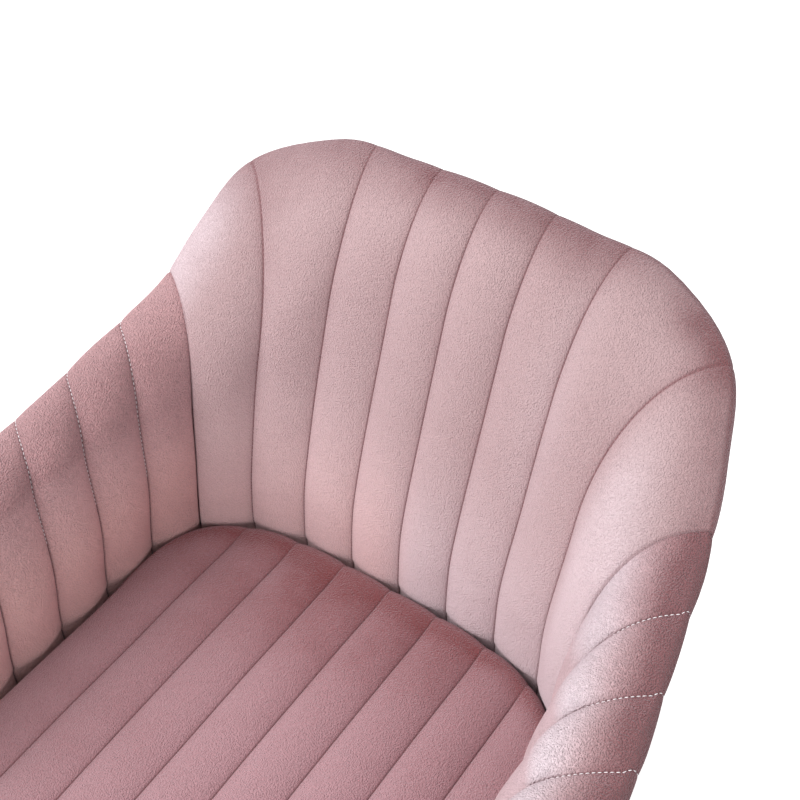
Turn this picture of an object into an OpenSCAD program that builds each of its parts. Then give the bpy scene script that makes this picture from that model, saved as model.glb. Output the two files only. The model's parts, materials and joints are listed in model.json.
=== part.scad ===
// Swivel glider nursery chair: a channel-quilted tub seat that swings on four
// links over a turntable on a round floor base.
// The chair faces -Y. X = 0 is its plane of symmetry, and Z = 0 is the floor.
// The swivel axis is the Z axis. Left is -X and right is +X, as seen from the front.

/* [Seat] */
// Height of the seat line, where the cushion meets the back, above the floor
seat_line = 440; // [400:5:500]
// Clear width between the arms at the seat line, at the back
seat_w = 492; // [400:4:600]
// Depth of the seat, from the back at the seat line to the front of the cushion
seat_d = 484; // [440:4:590]
// Thickness of the cushion below the seat line
cushion_t = 105; // [85:1:130]
// How far the middle of the cushion rises above the seat line
cushion_crown = 20; // [8:1:30]
// How far behind the swivel axis the back meets the seat line
back_setback = 200; // [180:1:225]

/* [Back and arms] */
// Height of the middle of the top edge above the seat line
back_h = 425; // [350:5:510]
// Height of the notch where an arm meets the back
notch_h = 280; // [240:5:330]
// Height of an arm just in front of the notch
arm_h = 250; // [210:5:290]
// Height of an arm at its front
arm_front_h = 188; // [155:5:225]
// Depth of the round back corners in plan
corner_d = 205; // [170:5:245]
// Thickness of the tub wall at the seat line
wall_t = 70; // [60:1:84]
// How much the tub wall tapers in for each millimetre below the seat line
wall_taper = 0.05; // [0:0.01:0.06]
// How far the lower edge of the tub hangs below the seat line
skirt_h = 345; // [320:5:360]
// Depth of the padded nose on the front of each arm
nose_t = 26; // [16:1:36]
// Thickness of the padding under the outside cover
skin_t = 12; // [8:1:14]
// Thickness of the bent plywood shell
ply_t = 14; // [10:1:16]

/* [Seat frame] */
// Thickness of the plywood deck under the cushion
deck_t = 15; // [12:1:18]
// Height of the hardwood rails under the deck
rail_h = 49; // [40:1:60]
// Thickness of the hardwood rails
rail_t = 25; // [20:1:30]

/* [Glide] */
// Distance between the two pivots of a swing link
link_l = 135; // [112:1:162]
// Radius of the pivot studs
stud_r = 5; // [4:0.1:6]
// Distance of each pivot in front of or behind the swivel axis
pivot_y = 100; // [84:1:112]
// Distance of the hanger plates from the middle of the chair
hanger_x = 150; // [130:1:168]
// Steel thickness of the hangers and drop brackets
plate_t = 4; // [3:0.5:5]
// Thickness of a swing link
link_t = 6; // [5:0.5:7]
// Width of a swing link
link_w = 24; // [20:1:28]
// Swing of the links to each side, in degrees
glide_deg = 25; // [18:1:28]

/* [Base] */
// Diameter of the round floor base
base_d = 560; // [470:10:680]
// Thickness of the steel base plate
base_t = 10; // [8:1:14]
// Diameter of the circle on which the bearing balls run
race_d = 150; // [120:2:190]
// Diameter of the bearing balls
ball_d = 9.5; // [8:0.5:11]
// Number of bearing balls
ball_n = 16; // [10:1:18]
// Radius of the centre pin
kingpin_r = 10; // [8:0.5:12]

/* [Clearances] */
// Radial clearance of a turning pin in its bore
fit = 0.05; // [0.02:0.01:0.08]
// Gap between soft parts, and between a soft part and its frame
soft_gap = 0.5; // [0.3:0.1:0.8]

/* [Hidden] */

$fn = 48;

// ---- Colours -------------------------------------------------------------
velvet = [0.78, 0.62, 0.64];
velvet_seat = [0.66, 0.48, 0.50];
brass_finish = [0.78, 0.66, 0.45];
black_steel = [0.13, 0.13, 0.14];
zinc = [0.72, 0.73, 0.75];
birch = [0.83, 0.70, 0.52];
nylon = [0.90, 0.89, 0.85];
black_rubber = [0.10, 0.10, 0.10];

// ---- Levels above the floor ------------------------------------------------
pad_t = 3;
cover_t = 1.5;
face_gap = 0.3;
plate_top = pad_t + base_t;
cover_top = plate_top + cover_t;
race_t = 6;
race_gap = 3;
groove_gap = 0.12;
race_high = plate_top + race_t + race_gap;
turn_low = race_high + race_t;
turn_t = 6;
turn_top = turn_low + turn_t;
deck_top = seat_line - cushion_t;
deck_low = deck_top - deck_t;
rail_low = deck_low - rail_h;
dust_t = 1;
platform_top = rail_low - dust_t;
crossbar_t = 6;
hanger_clear = 6;
stud_eye_r = stud_r + 8;
upper_z = platform_top - crossbar_t - hanger_clear - stud_eye_r;
lower_z = upper_z - link_l;

// ---- Plan of the tub at the seat line --------------------------------------
// A superellipse rounds the back corners; the arms run on in front of it, and
// splay a little. Lengths along the plan are measured from the middle of the back.
plan_power = 3.8;
plan_steps = 90;
arm_splay = 0.04;
half_w = seat_w / 2;
arm_front = seat_d - nose_t;
plan_curve = [for (i = [0:plan_steps]) let (t = 90 - 90 * i / plan_steps)
    [half_w * pow(max(cos(t), 0), 2 / plan_power),
     corner_d * (pow(max(sin(t), 0), 2 / plan_power) - 1)]];
plan_len = [for (i = 0, s = 0; i <= plan_steps;
    s = s + (i < plan_steps ? norm(plan_curve[i + 1] - plan_curve[i]) : 0), i = i + 1) s];
plan_x = [for (i = [0:plan_steps]) [plan_len[i], plan_curve[i][0]]];
plan_y = [for (i = [0:plan_steps]) [plan_len[i], plan_curve[i][1]]];
corner_len = plan_len[plan_steps];
arm_len = corner_len + arm_front - corner_d;

// Stations count the quilted channels from the middle of the back: 0 is the middle
// seam, 4 is the seam between the back and an arm, and last_station is the arm's front.
last_station = 10.4;
back_station = 4;
station_len = [[0, 0], [3, 0.46 * corner_len], [5, 0.742 * corner_len], [last_station, arm_len]];

function plan_at(s) = s <= corner_len
    ? [lookup(s, plan_x), lookup(s, plan_y)]
    : [half_w + arm_splay * (s - corner_len), -corner_d - (s - corner_len)];
function base_at(u) = plan_at(lookup(u, station_len));
plan_probe = 0.05;
function normal_at(u) =
    let (d = base_at(u + plan_probe) - base_at(max(u - plan_probe, 0)), n = [-d[1], d[0]] / norm(d))
    u < plan_probe ? [0, 1] : n;

// ---- Sections of the tub ----------------------------------------------------
// Each list gives a size at the stations where it changes; between them a smooth
// curve runs through the points. Heights are above the seat line.
mid_drop = (back_h + notch_h) / 2;
rim_h = [[0, back_h], [1.5, back_h - 6], [2.5, back_h - 16], [3, back_h - 46], [3.5, mid_drop - 26],
    [4, notch_h], [5, arm_h], [6, arm_h - 20], [7, arm_h - 33], [9, (arm_h + arm_front_h) / 2 - 20],
    [last_station, arm_front_h]];
// Height and width of the roll from the inner wall to the top of the rim
roll_h = [[0, 94], [1.5, 102], [2.5, 138], [3, 155], [3.5, 142], [4, 116], [5, 80], [6, 46], [7, 32],
    [9, 32], [last_station, 34]];
roll_w = [[0, 54], [1.5, 56], [2.5, 80], [3, 94], [3.5, 90], [4, 79], [5, 73], [6, 57], [7, 46],
    [9, 44], [last_station, 42]];
// Radius of the outer edge of the rim
edge_r = [[0, 15], [2.5, 11], [3.5, 12], [4, 15], [5, 19], [6, 24], [7, 30], [9, 34], [last_station, 34]];
// Direction in plan in which the rim rolls over, in degrees from the +X axis
roll_dir = [[0, 90], [1.5, 86], [2.5, 66], [3, 40], [3.5, 34], [4, 33], [5, 29], [6, 27], [7, 25],
    [9, 18], [last_station, 10]];
// Lean of the wall to the back, and outwards, above the lumbar curve
lean_back = [[0, 0.32], [1.5, 0.33], [2.5, 0.29], [3, 0.27], [3.5, 0.22], [4, 0.18], [6, 0.19],
    [7, 0.22], [9, 0.22], [last_station, 0.16]];
lean_out = [[0, 0], [2, 0.01], [4, 0.02], [5, 0.03], [6, 0.12], [7, 0.19], [9, 0.2], [last_station, 0.18]];
// How far an arm's inner face bellies in between the seat line and its roll
belly = [[0, 0], [2, 1], [3, 2], [4, 5], [5, 8], [last_station, 7]];
belly_h = 200;
lumbar_h = 85;
lumbar_soft = 40;
seam_drop = 12;
shell_drop = 6;
shell_top_gap = 1.2;
panel_top_gap = 2.5;

function seg(u, t, i = 0) = (i >= len(t) - 2 || u < t[i + 1][0]) ? i : seg(u, t, i + 1);
function rise(t, i) = (t[i + 1][1] - t[i][1]) / (t[i + 1][0] - t[i][0]);
function slope(t, i) = i == 0 ? 0
    : i == len(t) - 1 ? rise(t, i - 1)
    : let (a = t[i][0] - t[i - 1][0], b = t[i + 1][0] - t[i][0])
        (rise(t, i - 1) * b + rise(t, i) * a) / (a + b);
// Cubic curve through the points of t
function smooth(u, t) =
    let (i = seg(u, t), h = t[i + 1][0] - t[i][0], k = (u - t[i][0]) / h, k2 = k * k, k3 = k2 * k)
    (2 * k3 - 3 * k2 + 1) * t[i][1] + (k3 - 2 * k2 + k) * h * slope(t, i)
        + (3 * k2 - 2 * k3) * t[i + 1][1] + (k3 - k2) * h * slope(t, i + 1);
function mix(a, b, k) = a + (b - a) * k;
function ease(k) = let (c = min(max(k, 0), 1)) c * c * (3 - 2 * c);

// Distance that a wall with a lean of 1 has moved at height z: upright low down,
// then bending back over the lumbar curve
function lumbar(z) = let (h = max(z, 0))
    (norm([h - lumbar_h, lumbar_soft]) + h - norm([lumbar_h, lumbar_soft])) / 2;
function wall_xy(u, z) = base_at(u) + [smooth(u, lean_out), smooth(u, lean_back)] * lumbar(z);
function belly_at(u, z) = z <= 0 || z >= belly_h ? 0
    : smooth(u, belly) * pow(sin(180 * z / belly_h), 2);
function roll_vec(u) = let (a = smooth(u, roll_dir)) [cos(a), sin(a)];

// Inner face of the wall, the roll over the rim, and the rim's outer edge
function inner_pt(u, z) = let (p = wall_xy(u, z)) [p[0] - belly_at(u, z), p[1], z];
function roll_pt(u, q) =
    let (top = smooth(u, rim_h), h = smooth(u, roll_h), w = smooth(u, roll_w),
        z = top - h * (1 - sin(90 * q)), p = inner_pt(u, z), v = roll_vec(u) * w * (1 - cos(90 * q)))
    [p[0] + v[0], p[1] + v[1], z];
function edge_pt(u, q) =
    let (r = smooth(u, edge_r), p = roll_pt(u, 1), v = roll_vec(u) * r * sin(90 * q))
    [p[0] + v[0], p[1] + v[1], p[2] - r * (1 - cos(90 * q))];
// A point of the outside face, moved inwards by d
function outer_pt(u, z, d = 0) =
    let (top = smooth(u, rim_h), edge = smooth(u, edge_r), n = normal_at(u),
        low = n * (wall_t + wall_taper * min(z, 0)),
        high = roll_vec(u) * (smooth(u, roll_w) + edge),
        k = ease(z / (top - edge)),
        p = wall_xy(u, z <= 0 ? z : z * top / (top - edge)) + mix(low, high, k) - n * d)
    [p[0], p[1], z];
function seam_z(u) = smooth(u, rim_h) - smooth(u, edge_r) - seam_drop;
function shell_z(u) = seam_z(u) - shell_drop;

// ---- Lofts --------------------------------------------------------------------
// What is drawn on the right side goes to side s: 1 is the right, and -1 the left
module side(s) mirror([s < 0 ? 1 : 0, 0, 0]) children();
// A section is a list of [a, b] pairs of points, one on each face of a wall.
station_step = 0.25;
wall_rows = 8;
rim_rows = 12;
shell_rows = 9;
back_end = 3.5;
seam_half_gap = 0.006;

function sign_pt(s, p) = [s * p[0], p[1] + back_setback, p[2] + seat_line];
function stations(a, b) = let (n = ceil((b - a) / station_step - 0.001))
    [for (i = [0:n]) i == 0 ? a : i == n ? b : (floor(a / station_step + 0.001) + i) * station_step];

// Heights of the shell's rows at a station, from its lower edge to its top
function shell_row(u, i) = i == 0 ? -skirt_h + 5
    : mix(-cushion_t, shell_z(u), (i - 1) / (shell_rows - 2));

function pad_section(u) =
    let (roll_z = smooth(u, rim_h) - smooth(u, roll_h), gap = skin_t + ply_t + soft_gap,
        top = shell_z(u) + shell_top_gap, sz = seam_z(u), lap = skin_t + soft_gap, flat = rim_rows - 4)
    concat(
        [for (i = [0:wall_rows - 1])
            let (za = mix(face_gap - cushion_t, roll_z, i / (wall_rows - 1)),
                zb = i == 0 ? face_gap - cushion_t : shell_row(u, i + 1))
            [inner_pt(u, za), outer_pt(u, zb, gap)]],
        [for (i = [0:rim_rows - 1])
            let (q = (i + 1) / flat,
                a = i < flat ? roll_pt(u, q) : i < rim_rows - 1
                    ? edge_pt(u, (i - flat + 1) / 3) : outer_pt(u, sz),
                b = i < flat
                    ? outer_pt(u, top, mix(gap, lap, i / (flat - 1)))
                    : outer_pt(u, mix(top, sz, (i - flat + 1) / 4), lap))
            [a, b]]);
function shell_section(u) = [for (i = [0:shell_rows - 1])
    let (z = shell_row(u, i)) [outer_pt(u, z, skin_t + ply_t), outer_pt(u, z, skin_t)]];
function panel_section(u) =
    let (rows = concat([-skirt_h], [for (i = [1:shell_rows - 1]) shell_row(u, i)],
        [seam_z(u) - panel_top_gap]))
    [for (z = rows) [outer_pt(u, z, skin_t - soft_gap), outer_pt(u, z)]];

// Solid through a list of sections, closed by a strip of facets at each end. The
// facets of both faces slant the same way, and the other way before section `middle`,
// so that neighbouring pieces stay parallel and the two halves are mirror images.
module loft(sections, middle = 0) {
    m = len(sections[0]);
    n = len(sections);
    ring = 2 * m;
    pts = [for (s = sections) each concat([for (p = s) p[0]], [for (i = [m - 1:-1:0]) s[i][1]])];
    sides = [for (j = [0:n - 2], i = [0:ring - 1])
        let (k = (i + 1) % ring, a = j * ring + i, b = j * ring + k)
        each (i < m) == (j >= middle) ? [[a, b, b + ring], [a, b + ring, a + ring]]
            : [[a, b, a + ring], [b, b + ring, a + ring]]];
    ends = [for (i = [0:m - 2]) let (c = ring - 1 - i, e = (n - 1) * ring)
        each [[i, c, c - 1], [i, c - 1, i + 1], [e + i, e + c - 1, e + c], [e + i, e + i + 1, e + c - 1]]];
    polyhedron(pts, concat(sides, ends), convexity = 10);
}
function place(s, section) = [for (p = section) [sign_pt(s, p[0]), sign_pt(s, p[1])]];

// Part of the back: the right half's sections, and the left half's in front of them
module back_loft(half) {
    loft(concat([for (i = [len(half) - 1:-1:1]) place(-1, half[i])], [for (s = half) place(1, s)]),
        len(half) - 1);
}
module arm_loft(s, sections) side(s) loft([for (i = sections) place(1, i)]);
// The last section of an arm is cut square across the front
function squared(u, section) = u < last_station ? section
    : [for (pair = section) [for (p = pair) [p[0], -arm_front, p[2]]]];
arm_from = back_station + seam_half_gap;
arm_list = stations(arm_from, last_station);
shell_list = stations(back_end + seam_half_gap, last_station);

module back_pad() color(velvet)
    back_loft([for (u = stations(0, back_station - seam_half_gap)) pad_section(u)]);
module arm_pad(s) color(velvet) arm_loft(s, [for (u = arm_list) squared(u, pad_section(u))]);
module left_arm_pad() arm_pad(-1);
module right_arm_pad() arm_pad(1);
module back_shell() color(birch)
    back_loft([for (u = stations(0, back_end - seam_half_gap)) shell_section(u)]);
module arm_shell(s) color(birch)
    arm_loft(s, [for (u = shell_list) squared(u, shell_section(u))]);
module left_arm_shell() arm_shell(-1);
module right_arm_shell() arm_shell(1);
module outer_back_panel() color(velvet)
    back_loft([for (u = stations(0, back_end - seam_half_gap)) panel_section(u)]);
module outer_panel(s) color(velvet)
    arm_loft(s, [for (u = shell_list) squared(u, panel_section(u))]);
module left_outer_panel() outer_panel(-1);
module right_outer_panel() outer_panel(1);

// ---- Nose on the front of an arm -----------------------------------------------
nose_rows = 9;
nose_inset = 18;
nose_steps = [0, 25, 50, 70, 90];
nose_edge = 2 / 3;
function nose_pair(i) =
    let (u = last_station, roll_z = smooth(u, rim_h) - smooth(u, roll_h), low = -skirt_h)
    i < nose_rows
        ? let (k = i / (nose_rows - 1)) [inner_pt(u, mix(low, roll_z, k)), outer_pt(u, mix(low, seam_z(u), k))]
        : i == nose_rows ? [roll_pt(u, 0.4), edge_pt(u, 1)] : [roll_pt(u, 0.8), edge_pt(u, nose_edge)];
function nose_section(turn) =
    let (top = smooth(last_station, rim_h), mid = (top - skirt_h) / 2, half = (top + skirt_h) / 2,
        inset = nose_inset * (1 - cos(turn)), forward = face_gap + (nose_t - face_gap) * sin(turn))
    [for (i = [0:nose_rows + 1]) let (p = nose_pair(i), c = (p[0] + p[1]) / 2)
        [for (q = p) let (d = q - c, v = c + d * (1 - inset / norm(d) * 0.9))
            [v[0], -arm_front - forward, mid + (v[2] - mid) * (1 - inset / half)]]];
module arm_nose(s) color(velvet) arm_loft(s, [for (t = nose_steps) nose_section(t)]);
module left_arm_nose() arm_nose(-1);
module right_arm_nose() arm_nose(1);

// ---- Cushion, deck and border --------------------------------------------------
cushion_side_gap = 2;
cushion_nose_r = 40;
// Outline of the seat, moved in by d, from the middle of the back to the middle of the front
function front_x(d) = plan_at(arm_len)[0] - d;
function seat_half(d, front_y, r) = concat(
    [for (u = [0:0.25:last_station - 0.4]) let (p = base_at(u) - normal_at(u) * d)
        if (p[1] > front_y + r + 4) p],
    [for (a = [0:15:90]) [front_x(d) - r * (1 - cos(a)), front_y + r * (1 - sin(a))]],
    [for (k = [0.75, 0.5, 0.25, 0]) [(front_x(d) - r) * k, front_y]]);
function seat_ring(d, front_y, r, z) = let (h = seat_half(d, front_y, r), n = len(h))
    concat([for (p = h) [p[0], p[1], z]], [for (i = [n - 2:-1:1]) [-h[i][0], h[i][1], z]]);
// Rings of the cushion: how far each is drawn in, its height, and its share of the crown
cushion_rings = [[6, -cushion_t + face_gap, 0], [cushion_side_gap, 12 - cushion_t, 0],
    [cushion_side_gap, -16, 0], [5, -4, 0.1], [16, 3, 0.3]];
crown_steps = [0.85, 0.65, 0.4, 0.15];
module seat_cushion() color(velvet_seat) {
    lower = [for (r = cushion_rings)
        seat_ring(r[0], -seat_d + r[0] - cushion_side_gap, cushion_nose_r, r[1])];
    rim = lower[len(lower) - 1];
    centre = [0, -seat_d / 2, 0];
    upper = [for (k = crown_steps) [for (p = rim)
        [mix(centre[0], p[0], k), mix(centre[1], p[1], k), mix(p[2], cushion_crown, 1 - pow(k, 2.4))]]];
    rings = concat(lower, upper);
    n = len(rim);
    last = len(rings) - 1;
    pts = [for (r = rings) each [for (p = r) sign_pt(1, p)]];
    top = len(pts);
    bottom = top + 1;
    all_pts = concat(pts, [sign_pt(1, [0, centre[1], cushion_crown]),
        sign_pt(1, [0, centre[1], rings[0][0][2]])]);
    faces = [for (j = [0:last - 1], i = [0:n - 1]) let (k = (i + 1) % n, a = j * n + i, b = j * n + k)
        each [[a, b, b + n], [a, b + n, a + n]]];
    caps = [for (i = [0:n - 1]) let (k = (i + 1) % n)
        each [[last * n + i, last * n + k, top], [k, i, bottom]]];
    polyhedron(all_pts, concat(faces, caps), convexity = 4);
}

shell_inner = wall_t - skin_t - ply_t;
deck_out = shell_inner - wall_taper * (cushion_t + deck_t) - soft_gap;
module seat_deck() color(birch) translate([0, back_setback, deck_low]) linear_extrude(deck_t)
    polygon([for (p = seat_ring(-deck_out, -arm_front + 1, 2, 0)) [p[0], p[1]]]);

rail_out = shell_inner - wall_taper * (cushion_t + deck_t + rail_h) - soft_gap;
rail_play = 2;
rail_front_y = back_setback - arm_front;
side_rail_back = back_setback - 0.65 * corner_d;
side_rail_x = half_w + rail_out - rail_play;
front_rail_x = half_w + rail_out + arm_splay * (arm_front - corner_d - rail_t) - rail_play / 2;

// ---- Shared sizes of the glide ---------------------------------------------------
foot_w = 40;
foot_bolt_r = 4;
bumper_r = 8;
bumper_stem_r = 3;
bumper_gap = 0.3;
tub_clear = 5;
// Inner face of the shell at its lower edge, and the room behind a rear pivot at full swing.
// Where that room is short the stops sit higher, so that the hangers are narrower.
low_line = [for (u = [0:0.1:back_station])
    base_at(u) + normal_at(u) * (shell_inner - wall_taper * skirt_h)];
swing_room = back_setback + lookup(hanger_x + plate_t, low_line) - tub_clear - pivot_y
    - link_l * sin(glide_deg);
bumper_drop = min(45, ((swing_room - bumper_r - 2) * cos(glide_deg) - link_w / 2 - bumper_r - bumper_gap)
    / sin(glide_deg));
bumper_y = (link_w / 2 + bumper_r + bumper_gap + bumper_drop * sin(glide_deg)) / cos(glide_deg);
hanger_half = bumper_y + bumper_r + 2;
bush_wall = 2.5;
bush_r = stud_r + bush_wall;
bush_flange = 1.5;
bush_fit = 0.03;
link_gap = 2;
drop_gap = 6;
link_x = hanger_x + plate_t + link_gap;
drop_x = link_x + link_t + drop_gap;
angle_x = drop_x + plate_t;
angle_w = 38;
angle_h = 40;
stud_head_r = stud_r + 3;
stud_head_t = 3;
turn_half_y = pivot_y + hanger_half;
turn_corner = 30;

// ---- Rails under the deck ----------------------------------------------------------
rear_rail_x = angle_x + angle_w + 4;
// Inner face of the shell at the rails, and how far back a rail reaches inside its round corner
shell_line = [for (u = [0:0.1:back_station]) base_at(u) + normal_at(u) * rail_out];
rear_rail_back = back_setback - rail_play + lookup(rear_rail_x, shell_line);
module board(x0, x1, y0, y1, z0, z1) translate([x0, y0, z0]) cube([x1 - x0, y1 - y0, z1 - z0]);
module both_sides() for (s = [0, 1]) mirror([s, 0, 0]) children();
module disc(r, z0, z1) translate([0, 0, z0]) cylinder(r = r, h = z1 - z0, $fn = 96);
module peg(r, z0, z1) translate([0, 0, z0]) cylinder(r = r, h = z1 - z0);
module front_rail() color(birch) difference() {
    board(-front_rail_x, front_rail_x, rail_front_y + 1, rail_front_y + rail_t, rail_low, deck_low);
    seat_bolt_bores();
}
module rear_rail() color(birch) difference() {
    board(-rear_rail_x, rear_rail_x, rear_rail_back - rail_t, rear_rail_back, rail_low, deck_low);
    seat_bolt_bores();
}
module side_rail(s) color(birch) side(s)
    board(side_rail_x - rail_t, side_rail_x, rail_front_y + rail_t, side_rail_back, rail_low, deck_low);
module left_side_rail() side_rail(-1);
module right_side_rail() side_rail(1);
module dust_cover() color(black_rubber) difference() {
    union() {
        board(-side_rail_x, side_rail_x, rail_front_y + 3, side_rail_back, platform_top, rail_low);
        board(-rear_rail_x, rear_rail_x, side_rail_back - 1, rear_rail_back - 1, platform_top, rail_low);
    }
    seat_bolt_bores();
}
border_side_gap = 1;
border_r = 14;
border_t = nose_t - 1;
border_x = base_at(last_station)[0] - border_side_gap - arm_splay * nose_t;
border_low = seat_line - skirt_h;
border_h = deck_top - border_low - 2;
module front_border() color(velvet)
    translate([0, rail_front_y + soft_gap, border_low + border_h / 2]) rotate([90, 0, 0]) {
        linear_extrude(border_t - border_r / 2) square([2 * border_x, border_h], center = true);
        translate([0, 0, border_t - border_r / 2]) linear_extrude(border_r / 2)
            square([2 * border_x - border_r, border_h - border_r], center = true);
    }

// ---- Base -----------------------------------------------------------------------
base_edge = 4;
pad_inset = 12;
race_edge = 14;
race_r = 0.5 * race_d;
race_out = race_r + race_edge;
bolt_circle = race_r - 18;
base_bolt_r = 3;
base_bolt_n = 4;
bolt_head_r = 5.5;
bolt_head_t = 2.7;
kingpin_head_r = kingpin_r + 7;
kingpin_head_t = 4;
nut_t = 8;
nut_r = kingpin_r + 7;
washer_gap = 0.3;
ball_z = plate_top + race_t + race_gap / 2;
module ring_of(n, r, start = 0) for (i = [0:n - 1]) rotate(start + 360 * i / n)
    translate([r, 0, 0]) children();
module floor_pad() color(black_rubber) disc(base_d / 2 - pad_inset, 0, pad_t);
module base_plate() color(black_steel) difference() {
    disc(base_d / 2 - cover_t - face_gap, pad_t, plate_top);
    disc(kingpin_r + fit, 0, plate_top + 1);
    disc(kingpin_head_r + face_gap, 0, pad_t + kingpin_head_t + face_gap);
    ring_of(base_bolt_n, bolt_circle, 45) {
        peg(base_bolt_r + fit, 0, plate_top + 1);
        peg(bolt_head_r + face_gap, 0, pad_t + bolt_head_t + face_gap);
    }
}
// The cover is a spun dish, with its rim turned down over the edge of the plate
module base_cover() color(brass_finish) rotate_extrude($fn = 128) polygon([
    [race_out, plate_top], [base_d / 2 - cover_t, plate_top], [base_d / 2 - cover_t, pad_t],
    [base_d / 2, pad_t], [base_d / 2, cover_top - base_edge], [base_d / 2 - base_edge, cover_top],
    [race_out, cover_top]]);
module race(z0, z1) difference() {
    disc(race_out - 0.5, z0, z1);
    disc(kingpin_r + fit, z0 - 1, z1 + 1);
    translate([0, 0, ball_z]) rotate_extrude($fn = 96) translate([race_r, 0])
        circle(r = ball_d / 2 + groove_gap);
}
module lower_race() color(zinc) difference() {
    race(plate_top, plate_top + race_t);
    ring_of(base_bolt_n, bolt_circle, 45) peg(base_bolt_r + fit, plate_top - 1, plate_top + race_t + 1);
}
module upper_race() color(zinc) difference() {
    race(race_high, race_high + race_t);
    ring_of(base_bolt_n, bolt_circle) peg(base_bolt_r + fit, race_high - 1, race_high + race_t + 1);
}
module bearing_balls() color(zinc) ring_of(ball_n, race_r) translate([0, 0, ball_z])
    sphere(d = ball_d, $fn = 24);
cage_t = race_gap - 1;
cage_gap = 0.25;
module ball_cage() color(nylon) difference() {
    disc(race_r + ball_d / 2 + 3, ball_z - cage_t / 2, ball_z + cage_t / 2);
    disc(race_r - ball_d / 2 - 3, ball_z - cage_t, ball_z + cage_t);
    ring_of(ball_n, race_r) peg(ball_d / 2 + cage_gap, ball_z - cage_t, ball_z + cage_t);
}
module kingpin() color(zinc) {
    disc(kingpin_r, pad_t + face_gap, turn_top + washer_gap + nut_t + 2);
    disc(kingpin_head_r, pad_t + face_gap, pad_t + kingpin_head_t + face_gap);
}
module kingpin_nut() color(zinc) difference() {
    translate([0, 0, turn_top + washer_gap]) cylinder(r = nut_r, h = nut_t, $fn = 6);
    disc(kingpin_r + fit, turn_top - 1, turn_top + nut_t + 3);
}
module base_bolts() color(zinc) ring_of(base_bolt_n, bolt_circle, 45) {
    peg(base_bolt_r, pad_t + face_gap, plate_top + race_t - face_gap);
    peg(bolt_head_r, pad_t + face_gap, pad_t + bolt_head_t + face_gap);
}

// ---- Turntable and hangers ------------------------------------------------------
// A flat shape drawn in Y and Z becomes a plate from x to x + t
module side_plate(x, t) translate([x, 0, 0]) rotate([90, 0, 90]) linear_extrude(t) children();
module cross_pin(x0, x1, y, z, r) translate([x0, y, z]) rotate([0, 90, 0]) cylinder(r = r, h = x1 - x0);

module turn_plate() color(black_steel) difference() {
    x = hanger_x;
    y = turn_half_y;
    c = turn_corner;
    translate([0, 0, turn_low]) linear_extrude(turn_t) polygon([[x, y - c], [x - c, y], [c - x, y],
        [-x, y - c], [-x, c - y], [c - x, -y], [x - c, -y], [x, c - y]]);
    disc(kingpin_r + fit, turn_low - 1, turn_top + 1);
    ring_of(base_bolt_n, bolt_circle) peg(base_bolt_r + fit, turn_low - 1, turn_top + 1);
    hanger_bolt_places() peg(foot_bolt_r + fit, turn_low - 1, turn_top + 1);
}
module swivel_collar() color(brass_finish) difference() {
    disc(race_out + 2, cover_top + 0.6, turn_low);
    disc(race_out + 0.5, cover_top, turn_low + 1);
}
module hanger_bolt_places() both_sides() for (y = [-pivot_y, pivot_y], d = [-1, 1])
    translate([hanger_x - foot_w / 2, y + d * (hanger_half - turn_corner), 0]) children();
module hanger_bolts() color(zinc) {
    hanger_bolt_places() {
        peg(foot_bolt_r, turn_low, turn_top + plate_t);
        peg(foot_bolt_r + 3, turn_top + plate_t, turn_top + plate_t + 4);
    }
    ring_of(base_bolt_n, bolt_circle) {
        peg(base_bolt_r, race_high + face_gap, turn_top);
        peg(bolt_head_r, turn_top, turn_top + bolt_head_t);
    }
}
// Each hanger is a bent plate: a foot on the turntable and an upright with the upper pivot
module hanger(sx, sy) color(black_steel) side(sx) translate([0, sy * pivot_y, 0]) difference() {
    union() {
        side_plate(hanger_x, plate_t) {
            polygon([[-hanger_half, turn_top], [hanger_half, turn_top],
                [hanger_half, upper_z - bumper_drop - bumper_r - 2],
                [hanger_half - 4, upper_z - bumper_drop + bumper_r],
                [stud_eye_r, upper_z], [-stud_eye_r, upper_z],
                [4 - hanger_half, upper_z - bumper_drop + bumper_r],
                [-hanger_half, upper_z - bumper_drop - bumper_r - 2]]);
            translate([0, upper_z]) circle(r = stud_eye_r);
        }
        board(hanger_x - foot_w, hanger_x, turn_corner - hanger_half - 14, hanger_half - turn_corner + 14,
            turn_top, turn_top + plate_t);
    }
    cross_pin(hanger_x - 1, hanger_x + plate_t + 1, 0, upper_z, stud_r + fit);
    cross_pin(hanger_x - 1, hanger_x + plate_t + 1, sy * bumper_y, upper_z - bumper_drop,
        bumper_stem_r + fit);
    for (d = [-1, 1]) translate([hanger_x - foot_w / 2, d * (hanger_half - turn_corner), 0])
        peg(foot_bolt_r + fit, turn_low, turn_top + plate_t + 1);
}
module front_left_hanger() hanger(-1, -1);
module front_right_hanger() hanger(1, -1);
module rear_left_hanger() hanger(-1, 1);
module rear_right_hanger() hanger(1, 1);
module stop_bumpers() color(black_rubber) both_sides() for (s = [-1, 1]) {
    y = s * (pivot_y + bumper_y);
    z = upper_z - bumper_drop;
    cross_pin(hanger_x + plate_t, link_x + link_t + 2, y, z, bumper_r);
    cross_pin(hanger_x - 3, hanger_x + plate_t + 1, y, z, bumper_stem_r);
    cross_pin(hanger_x - 3, hanger_x, y, z, bumper_stem_r + 1.5);
}
upper_stud_end = link_x + link_t + bush_flange + 0.3;
module upper_pivot_studs() color(zinc) both_sides() for (y = [-pivot_y, pivot_y]) {
    cross_pin(hanger_x - stud_head_t, upper_stud_end, y, upper_z, stud_r);
    cross_pin(hanger_x - stud_head_t, hanger_x, y, upper_z, stud_head_r);
    cross_pin(upper_stud_end, upper_stud_end + 1.8, y, upper_z, stud_head_r);
}

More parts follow.
